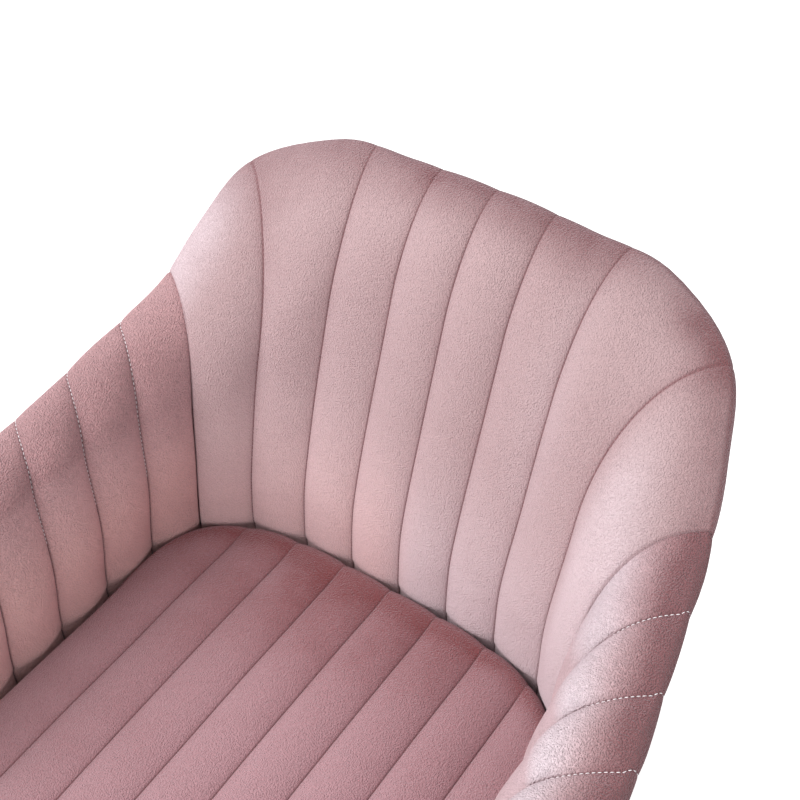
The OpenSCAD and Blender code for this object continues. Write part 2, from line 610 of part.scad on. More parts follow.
// ---- Swing links ------------------------------------------------------------------
module link(sx, sy) color(zinc) side(sx) translate([0, sy * pivot_y, 0]) difference() {
    side_plate(link_x, link_t) {
        translate([-link_w / 2, lower_z]) square([link_w, link_l]);
        for (z = [lower_z, upper_z]) translate([0, z]) circle(d = link_w);
    }
    for (z = [lower_z, upper_z]) cross_pin(link_x - 1, link_x + link_t + 1, 0, z, bush_r + bush_fit);
}
// Two half bushes meet inside each eye of a link, with their flanges outside it
module bushes(sx, sy) color(nylon) side(sx) for (z = [lower_z, upper_z], h = [0, 1])
    translate([link_x + link_t / 2, sy * pivot_y, z]) mirror([h, 0, 0]) rotate([0, 90, 0]) difference() {
        union() {
            translate([0, 0, face_gap / 2]) cylinder(r = bush_r, h = link_t / 2 + bush_flange - face_gap / 2);
            translate([0, 0, link_t / 2]) cylinder(r = bush_r + bush_wall, h = bush_flange);
        }
        cylinder(r = stud_r + fit, h = 3 * link_t, center = true);
    }
module front_left_link() link(-1, -1);
module front_right_link() link(1, -1);
module rear_left_link() link(-1, 1);
module rear_right_link() link(1, 1);
module front_left_bushes() bushes(-1, -1);
module front_right_bushes() bushes(1, -1);
module rear_left_bushes() bushes(-1, 1);
module rear_right_bushes() bushes(1, 1);

// ---- Gliding platform ---------------------------------------------------------------
drop_half = 36;
drop_eye_r = stud_r + 9;
platform_bolt_r = 4;
platform_bolt_y = 24;
angle_back = rear_rail_back - 1;
angle_front = rail_front_y + 2;
module platform_bolt_places() both_sides() for (y = [-pivot_y, pivot_y], d = [-1, 1])
    translate([0, y + d * platform_bolt_y, platform_top - angle_h / 2]) children();
module drop_bracket(sx, sy) color(black_steel) side(sx) translate([0, sy * pivot_y, 0]) difference() {
    side_plate(drop_x, plate_t) {
        polygon([[-drop_half, platform_top], [-drop_half, platform_top - angle_h],
            [-drop_eye_r, platform_top - 2 * angle_h], [-drop_eye_r, lower_z], [drop_eye_r, lower_z],
            [drop_eye_r, platform_top - 2 * angle_h], [drop_half, platform_top - angle_h],
            [drop_half, platform_top]]);
        translate([0, lower_z]) circle(r = drop_eye_r);
    }
    cross_pin(drop_x - 1, drop_x + plate_t + 1, 0, lower_z, stud_r + fit);
    for (d = [-1, 1]) cross_pin(drop_x - 1, drop_x + plate_t + 1, d * platform_bolt_y,
        platform_top - angle_h / 2, platform_bolt_r + fit);
}
module front_left_drop_bracket() drop_bracket(-1, -1);
module front_right_drop_bracket() drop_bracket(1, -1);
module rear_left_drop_bracket() drop_bracket(-1, 1);
module rear_right_drop_bracket() drop_bracket(1, 1);
// The shoulder of a lower stud keeps the link off the drop bracket
module lower_pivot_studs() color(zinc) both_sides() for (y = [-pivot_y, pivot_y]) {
    cross_pin(link_x - bush_flange + 0.1, drop_x + plate_t + stud_head_t, y, lower_z, stud_r);
    cross_pin(drop_x + plate_t, drop_x + plate_t + stud_head_t, y, lower_z, stud_head_r);
    cross_pin(upper_stud_end, drop_x, y, lower_z, stud_head_r);
}
module platform_rail(s) color(black_steel) side(s) difference() {
    union() {
        board(angle_x, angle_x + plate_t, angle_front, angle_back, platform_top - angle_h, platform_top);
        board(angle_x, angle_x + angle_w, angle_front, angle_back, platform_top - plate_t, platform_top);
    }
    for (y = [-pivot_y, pivot_y], d = [-1, 1]) cross_pin(angle_x - 1, angle_x + plate_t + 1,
        y + d * platform_bolt_y, platform_top - angle_h / 2, platform_bolt_r + fit);
    seat_bolt_bores();
}
module left_platform_rail() platform_rail(-1);
module right_platform_rail() platform_rail(1);
module platform_bolts() color(zinc) platform_bolt_places() {
    cross_pin(drop_x, angle_x + plate_t, 0, 0, platform_bolt_r);
    cross_pin(angle_x + plate_t, angle_x + plate_t + 3.5, 0, 0, platform_bolt_r + 3);
}
crossbar_w = 40;
crossbar_y = pivot_y + drop_half + 10 + crossbar_w / 2;
module crossbar(sy) color(black_steel) board(-angle_x, angle_x, sy * crossbar_y - crossbar_w / 2,
    sy * crossbar_y + crossbar_w / 2, platform_top - crossbar_t, platform_top);
module front_crossbar() crossbar(-1);
module rear_crossbar() crossbar(1);
seat_bolt_r = 3.5;
seat_bolt_l = 45;
seat_bolt_inset = 9;
module seat_bolt_places() both_sides()
    for (x = [angle_x + plate_t + seat_bolt_inset, angle_x + angle_w - seat_bolt_inset],
        y = [rail_front_y + (rail_t + 1) / 2, rear_rail_back - rail_t / 2]) translate([x, y, 0]) children();
module seat_bolt_bores() seat_bolt_places()
    peg(seat_bolt_r + fit, platform_top - plate_t - 1, platform_top + seat_bolt_l + 1);
module seat_bolts() color(zinc) seat_bolt_places() {
    peg(seat_bolt_r, platform_top - plate_t, platform_top + seat_bolt_l);
    peg(seat_bolt_r + 3, platform_top - plate_t - 4, platform_top - plate_t);
}

// ---- Parts ------------------------------------------------------------------------
floor_pad();
base_plate();
base_cover();
lower_race();
kingpin();
base_bolts();
ball_cage();
bearing_balls();
upper_race();
turn_plate();
swivel_collar();
kingpin_nut();
front_left_hanger();
front_right_hanger();
rear_left_hanger();
rear_right_hanger();
upper_pivot_studs();
stop_bumpers();
hanger_bolts();
front_left_link();
front_right_link();
rear_left_link();
rear_right_link();
front_left_bushes();
front_right_bushes();
rear_left_bushes();
rear_right_bushes();
front_left_drop_bracket();
front_right_drop_bracket();
rear_left_drop_bracket();
rear_right_drop_bracket();
lower_pivot_studs();
left_platform_rail();
right_platform_rail();
front_crossbar();
rear_crossbar();
platform_bolts();
seat_bolts();
dust_cover();
front_rail();
rear_rail();
left_side_rail();
right_side_rail();
seat_deck();
back_shell();
left_arm_shell();
right_arm_shell();
seat_cushion();
back_pad();
left_arm_pad();
right_arm_pad();
outer_back_panel();
left_outer_panel();
right_outer_panel();
left_arm_nose();
right_arm_nose();
front_border();
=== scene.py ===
"""Looks of a swivel glider nursery chair: quilted velvet, threads, wood and metal.

The tub of the chair is one family of upright sections. A station u counts the quilted
channels from the middle of the back: 0 is the middle seam, 4 is the join between the
back and an arm, and 10.4 is the front of the arm. Every soft surface is a function of
the station and of a way along the section, worked out here as whole numpy arrays.
Lengths in the section tables are millimetres, and everything else is metres.
"""

import json
import logging
import math
from dataclasses import dataclass, field, replace
from enum import Enum
from functools import partial

import bmesh
import bpy
import numpy as np
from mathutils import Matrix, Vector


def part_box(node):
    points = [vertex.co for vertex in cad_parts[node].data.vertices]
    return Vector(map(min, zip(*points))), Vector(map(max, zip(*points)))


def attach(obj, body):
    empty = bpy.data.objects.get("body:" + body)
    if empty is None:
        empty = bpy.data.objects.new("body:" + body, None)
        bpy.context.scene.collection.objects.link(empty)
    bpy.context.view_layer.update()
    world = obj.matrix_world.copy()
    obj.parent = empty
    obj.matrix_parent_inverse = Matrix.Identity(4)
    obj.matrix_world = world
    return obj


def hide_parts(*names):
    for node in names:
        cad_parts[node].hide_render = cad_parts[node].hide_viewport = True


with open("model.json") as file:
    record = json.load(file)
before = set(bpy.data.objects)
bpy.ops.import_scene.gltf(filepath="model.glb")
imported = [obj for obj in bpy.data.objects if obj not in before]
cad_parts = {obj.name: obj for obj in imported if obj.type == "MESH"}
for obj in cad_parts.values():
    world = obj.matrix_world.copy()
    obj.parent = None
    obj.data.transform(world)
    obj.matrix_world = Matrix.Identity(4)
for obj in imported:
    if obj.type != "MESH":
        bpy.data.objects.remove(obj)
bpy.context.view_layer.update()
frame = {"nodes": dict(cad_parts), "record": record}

LOG = logging.getLogger("glider_chair")
MM = 0.001
CLEAR = 0.0003  # gap left between a soft piece and what it rests on
Array = np.ndarray


class Side(Enum):
    """The chair's two sides, as seen from the front."""

    LEFT = -1.0
    RIGHT = 1.0


# ---- Shape of the tub ------------------------------------------------------------


def through(x: Array, y: Array, at: Array) -> Array:
    """Cubic Hermite curve through points, whose slopes are distance-weighted mean rises.

    Args:
        x: places of the points, rising.
        y: value at each place; further axes are separate curves.
        at: places where the curve is wanted.

    Returns:
        The curve's value at each place in `at`, flat at its start.
    """
    tail = (1,) * (y.ndim - 1)
    width = np.diff(x).reshape(-1, *tail)
    rise = np.diff(y, axis=0) / width
    slope = np.zeros_like(y)
    slope[-1] = rise[-1]
    slope[1:-1] = (rise[:-1] * width[1:] + rise[1:] * width[:-1]) / (width[1:] + width[:-1])
    i = np.clip(np.searchsorted(x, at, side="right") - 1, 0, len(x) - 2)
    k = ((at - x[i]) / (x[i + 1] - x[i])).reshape(*np.shape(at), *tail)
    step = width.reshape(-1)[i].reshape(*np.shape(at), *tail)
    k2, k3 = k * k, k * k * k
    return (
        (2 * k3 - 3 * k2 + 1) * y[i]
        + (k3 - 2 * k2 + k) * step * slope[i]
        + (3 * k2 - 2 * k3) * y[i + 1]
        + (k3 - k2) * step * slope[i + 1]
    )


@dataclass(frozen=True)
class Curve:
    """A size in millimetres that runs smoothly through (station, size) points.

    A direction or a lean is kept in the same way, and divided by MM where it is read.
    """

    points: tuple[tuple[float, float], ...]

    def at(self, u: Array) -> Array:
        """The size at each station, in metres."""
        x, y = np.array(self.points, dtype=float).T
        return through(x, y, np.asarray(u, dtype=float)) * MM


def ease(k: Array) -> Array:
    """Smooth step from 0 to 1 as k goes from 0 to 1."""
    c = np.clip(k, 0, 1)
    return c * c * (3 - 2 * c)


def step(value: Array, start: float, end: float) -> Array:
    """Smooth step from 0 where the value is at its start to 1 at its end."""
    return ease((value - start) / (end - start))


def mix(a: Array, b: Array, k: Array) -> Array:
    """Straight blend from a to b as k goes from 0 to 1."""
    return a + (b - a) * k


@dataclass
class Tub:
    """Plan and sections of the padded wall that is the back and the arms.

    Attributes:
        seat_line: height of the seat line above the floor.
        half_w: half-width between the arms.
        setback: distance from the frame's origin to the inner back.
        corner_d, power: depth and superellipse power of the back corners.
        arm_front: distance from the inner back to the front of the arms.
        splay: how far an arm swings out in each metre of its length.
        wall_t: thickness of the wall at the seat line.
        taper: how much thinner the wall gets in each metre below the seat line.
        skin_t, ply_t: thickness of an outside panel and of a plywood shell.
        gap: clearance between the wall's layers.
        cushion_t: thickness of the cushion, down to which the pads reach.
        skirt_h: how far the outside panels reach below the seat line.
        last: station of the front of the arms.
        join, panel_join: stations where the back meets an arm, inside and outside.
        lumbar_h, lumbar_soft: height where the wall bends back, and how softly.
        belly_h, belly: height of the swelling above the seat, and its depth.
        seam_drop: from the rim's outer edge down to the seam of the outside panels.
        chord: half the length of the chord that gives a normal, in stations.
        rim_h: height of the rim above the seat line.
        roll_h, roll_w: height and width of the rim's quarter ellipse.
        edge_r: radius of the rim's outer edge.
        roll_dir: direction in plan in which the rim rolls over, in degrees.
        lean_back, lean_out: lean of the wall, in thousandths of its height.
    """

    seat_line: float = 0.440
    half_w: float = 0.246
    setback: float = 0.200
    corner_d: float = 0.205
    arm_front: float = 0.458
    power: float = 3.8
    splay: float = 0.04
    wall_t: float = 0.070
    taper: float = 0.05
    skin_t: float = 0.012
    ply_t: float = 0.014
    gap: float = 0.0005
    cushion_t: float = 0.105
    skirt_h: float = 0.345
    last: float = 10.4
    join: float = 4.0
    panel_join: float = 3.5
    lumbar_h: float = 0.085
    lumbar_soft: float = 0.040
    belly_h: float = 0.200
    seam_drop: float = 0.012
    chord: float = 0.05
    rim_h: Curve = Curve(
        ((0, 425), (1.5, 419), (2.5, 409), (3, 379), (3.5, 326.5), (4, 280), (5, 250), (6, 230), (7, 217),
         (9, 199), (10.4, 188)))
    roll_h: Curve = Curve(
        ((0, 94), (1.5, 102), (2.5, 138), (3, 155), (3.5, 142), (4, 116), (5, 80), (6, 46), (7, 32), (9, 32),
         (10.4, 34)))
    roll_w: Curve = Curve(
        ((0, 54), (1.5, 56), (2.5, 80), (3, 94), (3.5, 92), (4, 87), (5, 77), (6, 71), (7, 71), (9, 57),
         (10.4, 50)))
    edge_r: Curve = Curve(
        ((0, 15), (2.5, 11), (3.5, 9), (4, 8), (5, 7), (6, 8), (7, 11), (9, 21), (10.4, 26)))
    roll_dir: Curve = Curve(
        ((0, 90), (1.5, 86), (2.5, 66), (3, 40), (3.5, 34), (4, 33), (5, 29), (6, 27), (7, 25), (9, 18),
         (10.4, 10)))
    lean_back: Curve = Curve(
        ((0, 320), (1.5, 330), (2.5, 290), (3, 270), (3.5, 220), (4, 180), (6, 190), (7, 220), (9, 220),
         (10.4, 160)))
    lean_out: Curve = Curve(((0, 0), (2, 10), (4, 20), (5, 30), (6, 120), (7, 190), (9, 200), (10.4, 180)))
    belly: Curve = Curve(((0, 0), (2, 1), (3, 2), (4, 5), (5, 8), (10.4, 7)))

    def __post_init__(self) -> None:
        """Measures the plan: a superellipse round each back corner, then a splayed arm."""
        t = np.radians(np.linspace(90, 0, 1501))
        x = self.half_w * np.clip(np.cos(t), 0, 1) ** (2 / self.power)
        y = self.corner_d * (np.clip(np.sin(t), 0, 1) ** (2 / self.power) - 1)
        self.plan = np.stack([x, y], axis=1)
        self.plan_len = np.concatenate([[0], np.cumsum(np.hypot(np.diff(x), np.diff(y)))])
        self.corner_len = self.plan_len[-1]
        self.station_u = np.array([0, 3, 5, self.last])
        self.station_len = np.array(
            [0, 0.46, 0.742, 1 + (self.arm_front - self.corner_d) / self.corner_len]) * self.corner_len

    def base(self, u: Array) -> Array:
        """Point of the plan at the seat line.

        Args:
            u: stations, from 0 to the arm's front.

        Returns:
            x and y of each station.
        """
        s = np.interp(u, self.station_u, self.station_len)
        over = np.maximum(s - self.corner_len, 0)
        x = np.interp(s, self.plan_len, self.plan[:, 0]) + self.splay * over
        y = np.interp(s, self.plan_len, self.plan[:, 1]) - over
        return np.stack([x, y], axis=-1)

    def normal(self, u: Array) -> Array:
        """Outward normal of the plan, square to a short chord round each station.

        Args:
            u: stations.

        Returns:
            x and y of each unit normal, straight back in the middle of the back.
        """
        d = self.base(u + self.chord) - self.base(np.maximum(u - self.chord, 0))
        n = np.stack([-d[..., 1], d[..., 0]], axis=-1)
        n = n / np.linalg.norm(n, axis=-1, keepdims=True)
        return np.where((u < self.chord)[..., None], np.array([0.0, 1.0]), n)

    def lumbar(self, z: Array) -> Array:
        """How far a wall with a lean of 1 has moved back: a hyperbola, flat low down.

        Args:
            z: heights above the seat line.

        Returns:
            The move at each height, in metres.
        """
        h = np.maximum(z, 0) - self.lumbar_h
        return (np.hypot(h, self.lumbar_soft) + h + self.lumbar_h
                - math.hypot(self.lumbar_h, self.lumbar_soft)) / 2

    def wall(self, u: Array, z: Array) -> Array:
        """Plan point moved by the wall's lean at height z."""
        lean = np.stack([self.lean_out.at(u), self.lean_back.at(u)], axis=-1) / MM / 1000
        return self.base(u) + lean * self.lumbar(z)[..., None]

    def inner(self, u: Array, z: Array) -> Array:
        """Inner face: the wall less a sine-squared belly between the seat and its roll.

        Args:
            u: stations.
            z: heights above the seat line.

        Returns:
            A section point for each station and height.
        """
        p = self.wall(u, z)
        k = np.where((z <= 0) | (z >= self.belly_h), 0, np.sin(np.pi * z / self.belly_h) ** 2)
        return np.stack([p[..., 0] - self.belly.at(u) * k, p[..., 1], z + 0 * u], axis=-1)

    def roll_way(self, u: Array) -> Array:
        """Direction in plan in which the rim rolls over."""
        a = np.radians(self.roll_dir.at(u) / MM)
        return np.stack([np.cos(a), np.sin(a), 0 * a], axis=-1)

    def roll(self, u: Array, q: Array) -> Array:
        """Quarter ellipse from the inner wall to the top of the rim.

        Args:
            u: stations.
            q: share of the quarter passed, 0 on the wall and 1 on the rim.

        Returns:
            A section point for each station and share.
        """
        z = self.rim_h.at(u) - self.roll_h.at(u) * (1 - np.sin(np.pi / 2 * q))
        out = self.roll_w.at(u) * (1 - np.cos(np.pi / 2 * q))
        return self.inner(u, z) + self.roll_way(u) * out[..., None]

    def edge(self, u: Array, q: Array) -> Array:
        """Quarter circle from the top of the rim down to its outer edge.

        Args:
            u: stations.
            q: share of the quarter passed, 0 on the rim and 1 on the outer edge.

        Returns:
            A section point for each station and share.
        """
        r = self.edge_r.at(u)
        p = self.roll(u, np.ones_like(q)) + self.roll_way(u) * (r * np.sin(np.pi / 2 * q))[..., None]
        return p - np.array([0, 0, 1.0]) * (r * (1 - np.cos(np.pi / 2 * q)))[..., None]

    def outer(self, u: Array, z: Array, deep: Array | float = 0.0) -> Array:
        """Outside face, or a face parallel to it: it blends from the wall to the rim's edge.

        Args:
            u: stations.
            z: heights above the seat line.
            deep: how far inside the outside face.

        Returns:
            A section point for each station and height.
        """
        top, edge, n = self.rim_h.at(u), self.edge_r.at(u), self.normal(u)
        low = n * (self.wall_t + self.taper * np.minimum(z, 0))[..., None]
        high = self.roll_way(u)[..., :2] * (self.roll_w.at(u) + edge)[..., None]
        k = ease(z / (top - edge))[..., None]
        p = self.wall(u, np.where(z <= 0, z, z * top / (top - edge))) + mix(low, high, k)
        p = p - n * (deep + 0 * z)[..., None]
        return np.concatenate([p, (z + 0 * u)[..., None]], axis=-1)

    def seam_z(self, u: Array) -> Array:
        """Height of the seam under the rim, where the outside panels begin."""
        return self.rim_h.at(u) - self.edge_r.at(u) - self.seam_drop

    def squared(self, u: Array, p: Array, reach: float = 1.0) -> Array:
        """Slides the end of an arm forward, to a front that is square.

        Args:
            u: stations.
            p: section points of the arm, whose last row is its end.
            reach: length of the slide, in stations.

        Returns:
            The points, slid by a smooth step.
        """
        out = p.copy()
        k = ease((u - (self.last - reach)) / reach)
        end = p[-1:, :, 1]
        out[..., 1] += k * (-self.arm_front - end)
        return out

    def place(self, p: Array, sign: Array | float = 1.0) -> Array:
        """Moves section points into the chair's frame.

        Args:
            p: section points.
            sign: -1 where they are mirrored to the other side.

        Returns:
            The moved points.
        """
        out = p.copy()
        out[..., 0] *= sign
        out[..., 1] += self.setback
        out[..., 2] += self.seat_line
        return out


LEFT_ROLL_W = Curve(
    ((0, 54), (1.5, 56), (2.5, 80), (3, 94), (3.5, 92), (4, 87), (5, 76), (6, 64), (7, 54), (9, 52),
     (10.4, 50)))
LEFT_EDGE_R = Curve(((0, 15), (2.5, 11), (3.5, 9), (4, 8), (5, 8), (6, 14), (7, 22), (9, 25), (10.4, 26)))


# ---- Meshes ----------------------------------------------------------------------


def grid_quads(rows: int, cols: int, wrap: bool = False, start: int = 0) -> Array:
    """Quads between the points of a grid that is stored row after row.

    Args:
        rows: number of rows.
        cols: number of points in a row.
        wrap: True where each row is a closed ring.
        start: index of the grid's first point.

    Returns:
        An array with one row of four indices for each quad.
    """
    r = np.arange(rows - 1)[:, None] * cols
    c = np.arange(cols if wrap else cols - 1)[None, :]
    nxt = (c + 1) % cols
    quads = np.stack([r + c, r + nxt, r + cols + nxt, r + cols + c], axis=-1)
    return quads.reshape(-1, 4) + start


def grid_normals(p: Array, towards: Array) -> Array:
    """Unit normals of a grid of points, turned to the side of `towards`.

    Args:
        p: points, shaped (rows, cols, 3).
        towards: a rough direction for each point, or one for all.

    Returns:
        The cross product of the two differences along the grid, normalised.
    """
    n = np.cross(np.gradient(p, axis=0), np.gradient(p, axis=1))
    n /= np.maximum(np.linalg.norm(n, axis=-1, keepdims=True), 1e-12)
    sign = np.sign((n * towards).sum(axis=-1, keepdims=True))
    return n * np.where(sign == 0, 1, sign)


@dataclass
class Piece:
    """One finished piece of the chair, with what it stands for and rides on.

    Attributes:
        name: name of the object.
        points, faces: the mesh.
        body: the body of the frame that it rides on.
        slot: its material slot in the record; not used.
        material: its finish.
        replaces: nodes of the frame that it stands for.
        fill: softness of a padded piece, or None where it is not padded; not used.
        values: values of the points that the finish reads, by name.
        sharp: angle in degrees past which an edge stays sharp, or None.
    """

    name: str
    points: Array
    faces: list[list[int]]
    body: str
    slot: str
    material: bpy.types.Material
    replaces: tuple[str, ...] = ()
    fill: float | None = None
    values: dict[str, Array] = field(default_factory=dict)
    sharp: float | None = None

    def make(self) -> bpy.types.Object:
        """Returns:
            The new object, which stands at the origin.
        """
        mesh = bpy.data.meshes.new(self.name)
        mesh.from_pydata(self.points.reshape(-1, 3).tolist(), [], self.faces)
        for name, value in self.values.items():
            layer = mesh.attributes.new(name, "FLOAT", "POINT")
            layer.data.foreach_set("value", np.asarray(value, dtype=np.float32).ravel())
        work = bmesh.new()
        work.from_mesh(mesh)
        bmesh.ops.remove_doubles(work, verts=work.verts, dist=1e-6)
        bmesh.ops.recalc_face_normals(work, faces=work.faces)
        work.to_mesh(mesh)
        work.free()
        mesh.polygons.foreach_set("use_smooth", np.ones(len(mesh.polygons), dtype=bool))
        if self.sharp is not None:
            mesh.set_sharp_from_angle(angle=math.radians(self.sharp))
        mesh.materials.append(self.material)
        obj = bpy.data.objects.new(self.name, mesh)
        bpy.context.collection.objects.link(obj)
        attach(obj, self.body)
        if self.replaces:
            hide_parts(*self.replaces)
        LOG.info("%s: %d points, %d faces", self.name, len(mesh.vertices), len(mesh.polygons))
        return obj


def ring_loft(front: Array, back: Array) -> tuple[Array, list[list[int]]]:
    """Closed solid between two faces that share their stations.

    Args:
        front: points of the shown face, shaped (stations, rows, 3).
        back: points of the hidden face, from the front's last row back to its first.

    Returns:
        The points, and faces that run round each ring and cap both ends.
    """
    ring = np.concatenate([front, back], axis=1)
    rows, cols = ring.shape[:2]
    faces = grid_quads(rows, cols, wrap=True).tolist()
    faces.append(list(range(cols)))
    faces.append(list(range((rows - 1) * cols, rows * cols)))
    return ring.reshape(-1, 3), faces


def shown_values(back: Array, value: Array) -> Array:
    """Spreads a value of the shown face over a ring loft, 0 on the hidden face."""
    return np.concatenate([value, np.zeros(back.shape[:2])], axis=1).ravel()


def plain(points: Array) -> dict[str, Array]:
    """Values of a velvet cover with no seam lines, no dark nap and no painted shade."""
    return {"seam": np.zeros(len(points)), "rim": np.zeros(len(points))}


def turned_in(near: Array, radius: float) -> Array:
    """How far a cover falls away beside its edge: a quarter circle.

    Args:
        near: distance to the edge.
        radius: radius of the quarter circle.

    Returns:
        The fall, from the radius at the edge to 0 where the circle ends.
    """
    turn = np.clip(1 - near / radius, 0, 1)
    return radius * (1 - np.sqrt(1 - turn ** 2))


# ---- Stitches --------------------------------------------------------------------


@dataclass(frozen=True)
class Thread:
    """A sewing thread: its radius, and the length and pitch of its stitches."""

    radius: float = 0.00042
    length: float = 0.0036
    pitch: float = 0.0048
    sides: int = 6

    def sew(self, path: Array, normal: Array, lift: float) -> tuple[Array, list[list[int]]]:
        """Lays stitches along a path, each a thin ellipsoid that sinks in at both ends.

        Args:
            path: points that the seam follows, shaped (n, 3).
            normal: unit normals of the cloth at those points.
            lift: height of a stitch's middle above the cloth.

        Returns:
            Points and faces of all the stitches together.
        """
        s = np.concatenate([[0], np.cumsum(np.linalg.norm(np.diff(path, axis=0), axis=1))])
        centre_s = np.arange(self.pitch / 2, s[-1], self.pitch)
        along = np.array([-0.5, -0.3, 0.0, 0.3, 0.5])
        girth = np.array([0.35, 0.9, 1.0, 0.9, 0.35])
        rise = np.array([-0.9, 0.1, 0.5, 0.1, -0.9]) * self.radius
        at = centre_s[:, None] + along[None, :] * self.length
        spot = np.stack([np.interp(at, s, path[:, k]) for k in range(3)], axis=-1)
        up = np.stack([np.interp(at, s, normal[:, k]) for k in range(3)], axis=-1)
        up /= np.linalg.norm(up, axis=-1, keepdims=True)
        run = np.gradient(spot, axis=1)
        run /= np.linalg.norm(run, axis=-1, keepdims=True)
        across = np.cross(up, run)
        turn = np.arange(self.sides) * 2 * np.pi / self.sides
        ring = (np.cos(turn)[:, None] * across[..., None, :] + np.sin(turn)[:, None] * up[..., None, :])
        points = (spot + up * (lift + rise)[None, :, None])[..., None, :] \
            + ring * (girth * self.radius)[None, :, None, None]
        count, rings = points.shape[:2]
        one = grid_quads(rings, self.sides, wrap=True)
        size = rings * self.sides
        quads = (one[None] + np.arange(count)[:, None, None] * size).reshape(-1, 4).tolist()
        ends = [[i * size + first + k for k in range(self.sides)]
                for i in range(count) for first in (0, size - self.sides)]
        return points.reshape(-1, 3), quads + ends


def join_meshes(parts: list[tuple[Array, list[list[int]]]]) -> tuple[Array, list[list[int]]]:
    """Puts several meshes together.

    Args:
        parts: points and faces of each mesh.

    Returns:
        One set of points and faces.
    """
    points, faces, start = [], [], 0
    for p, f in parts:
        points.append(p)
        faces.extend([[i + start for i in face] for face in f])
        start += len(p)
    return np.concatenate(points), faces


# ---- Soft pieces -------------------------------------------------------------------


@dataclass(frozen=True)
class Inflation:
    """Cloth simulation of stuffing that lifts a cover between the lines that hold it.

    Attributes:
        pressure: pressure inside the cover.
        slack: share by which the cover is larger than its form.
        frames: length of the simulation.
        limit: largest lift that is kept.
        mass: mass of a point.
        stiffness, bending: resistance to stretch and to bending.
        quality: steps in each frame.
    """

    pressure: float = 4.0
    slack: float = 0.001
    frames: int = 20
    limit: float = 0.0025
    mass: float = 0.3
    stiffness: float = 12.0
    bending: float = 2.5
    quality: int = 6

    def lift(self, points: Array, normals: Array, rows: Array, cols: Array, held: Array) -> Array:
        """Simulates every few points of a grid and spreads their lift over all of them.

        Args:
            points: grid of the cover before it is filled, shaped (n, m, 3).
            normals: unit normals of the grid.
            rows: indices along the first axis that are simulated, with both ends.
            cols: indices along the second axis that are simulated, with both ends.
            held: True where the cover is sewn down, shaped (n, m).

        Returns:
            How far each point of the whole grid moves along its normal, in metres.
        """
        part = np.ix_(rows, cols)
        start, normal, pins = points[part], normals[part], held[part]
        moved = self.settle(start, normal, pins)
        rise = ((moved - start) * normal).sum(axis=-1)
        rise = np.clip(np.where(pins, 0.0, rise), -self.limit, self.limit)
        full = through(cols.astype(float), rise.T, np.arange(points.shape[1], dtype=float)).T
        return through(rows.astype(float), full, np.arange(points.shape[0], dtype=float))

    def stuff(self, form: bpy.types.Object, pins: Array) -> None:
        """Gives an object the cloth modifier that inflates it, without gravity.

        Args:
            form: the object to inflate.
            pins: True at each of its points that is held.
        """
        group = form.vertex_groups.new(name="sewn")
        group.add(np.flatnonzero(pins.ravel()).tolist(), 1.0, "REPLACE")
        cloth = form.modifiers.new("cloth", "CLOTH")
        cloth.settings.quality = self.quality
        cloth.settings.mass = self.mass
        cloth.settings.tension_stiffness = self.stiffness
        cloth.settings.compression_stiffness = self.stiffness
        cloth.settings.shear_stiffness = self.stiffness / 2
        cloth.settings.bending_stiffness = self.bending
        cloth.settings.use_pressure = True
        cloth.settings.uniform_pressure_force = self.pressure
        cloth.settings.shrink_min = -self.slack
        cloth.settings.vertex_group_mass = group.name
        cloth.settings.effector_weights.gravity = 0.0
        cloth.collision_settings.use_collision = False
        cloth.point_cache.frame_start, cloth.point_cache.frame_end = 1, self.frames

    def settle(self, start: Array, normal: Array, pins: Array) -> Array:
        """Runs the cloth on a temporary mesh.

        Args:
            start: grid of points before the filling, shaped (n, m, 3).
            normal: unit normals of the grid.
            pins: True where the grid is held.

        Returns:
            The grid of points after the last frame.
        """
        n, m = start.shape[:2]
        quads = grid_quads(n, m)
        flat = start.reshape(-1, 3)
        face = np.cross(flat[quads[:, 2]] - flat[quads[:, 0]], flat[quads[:, 3]] - flat[quads[:, 1]])
        if (face * normal.reshape(-1, 3)[quads[:, 0]]).sum() < 0:
            quads = quads[:, ::-1]
        mesh = bpy.data.meshes.new("cloth_form")
        mesh.from_pydata(flat.tolist(), [], quads.tolist())
        form = bpy.data.objects.new("cloth_form", mesh)
        bpy.context.collection.objects.link(form)
        self.stuff(form, pins)
        scene = bpy.context.scene
        first = scene.frame_current
        for frame_number in range(1, self.frames + 1):
            scene.frame_set(frame_number)
        result = form.evaluated_get(bpy.context.evaluated_depsgraph_get())
        out = np.empty(len(flat) * 3)
        result.data.vertices.foreach_get("co", out)
        scene.frame_set(first)
        bpy.data.objects.remove(form)
        bpy.data.meshes.remove(mesh)
        return out.reshape(n, m, 3)


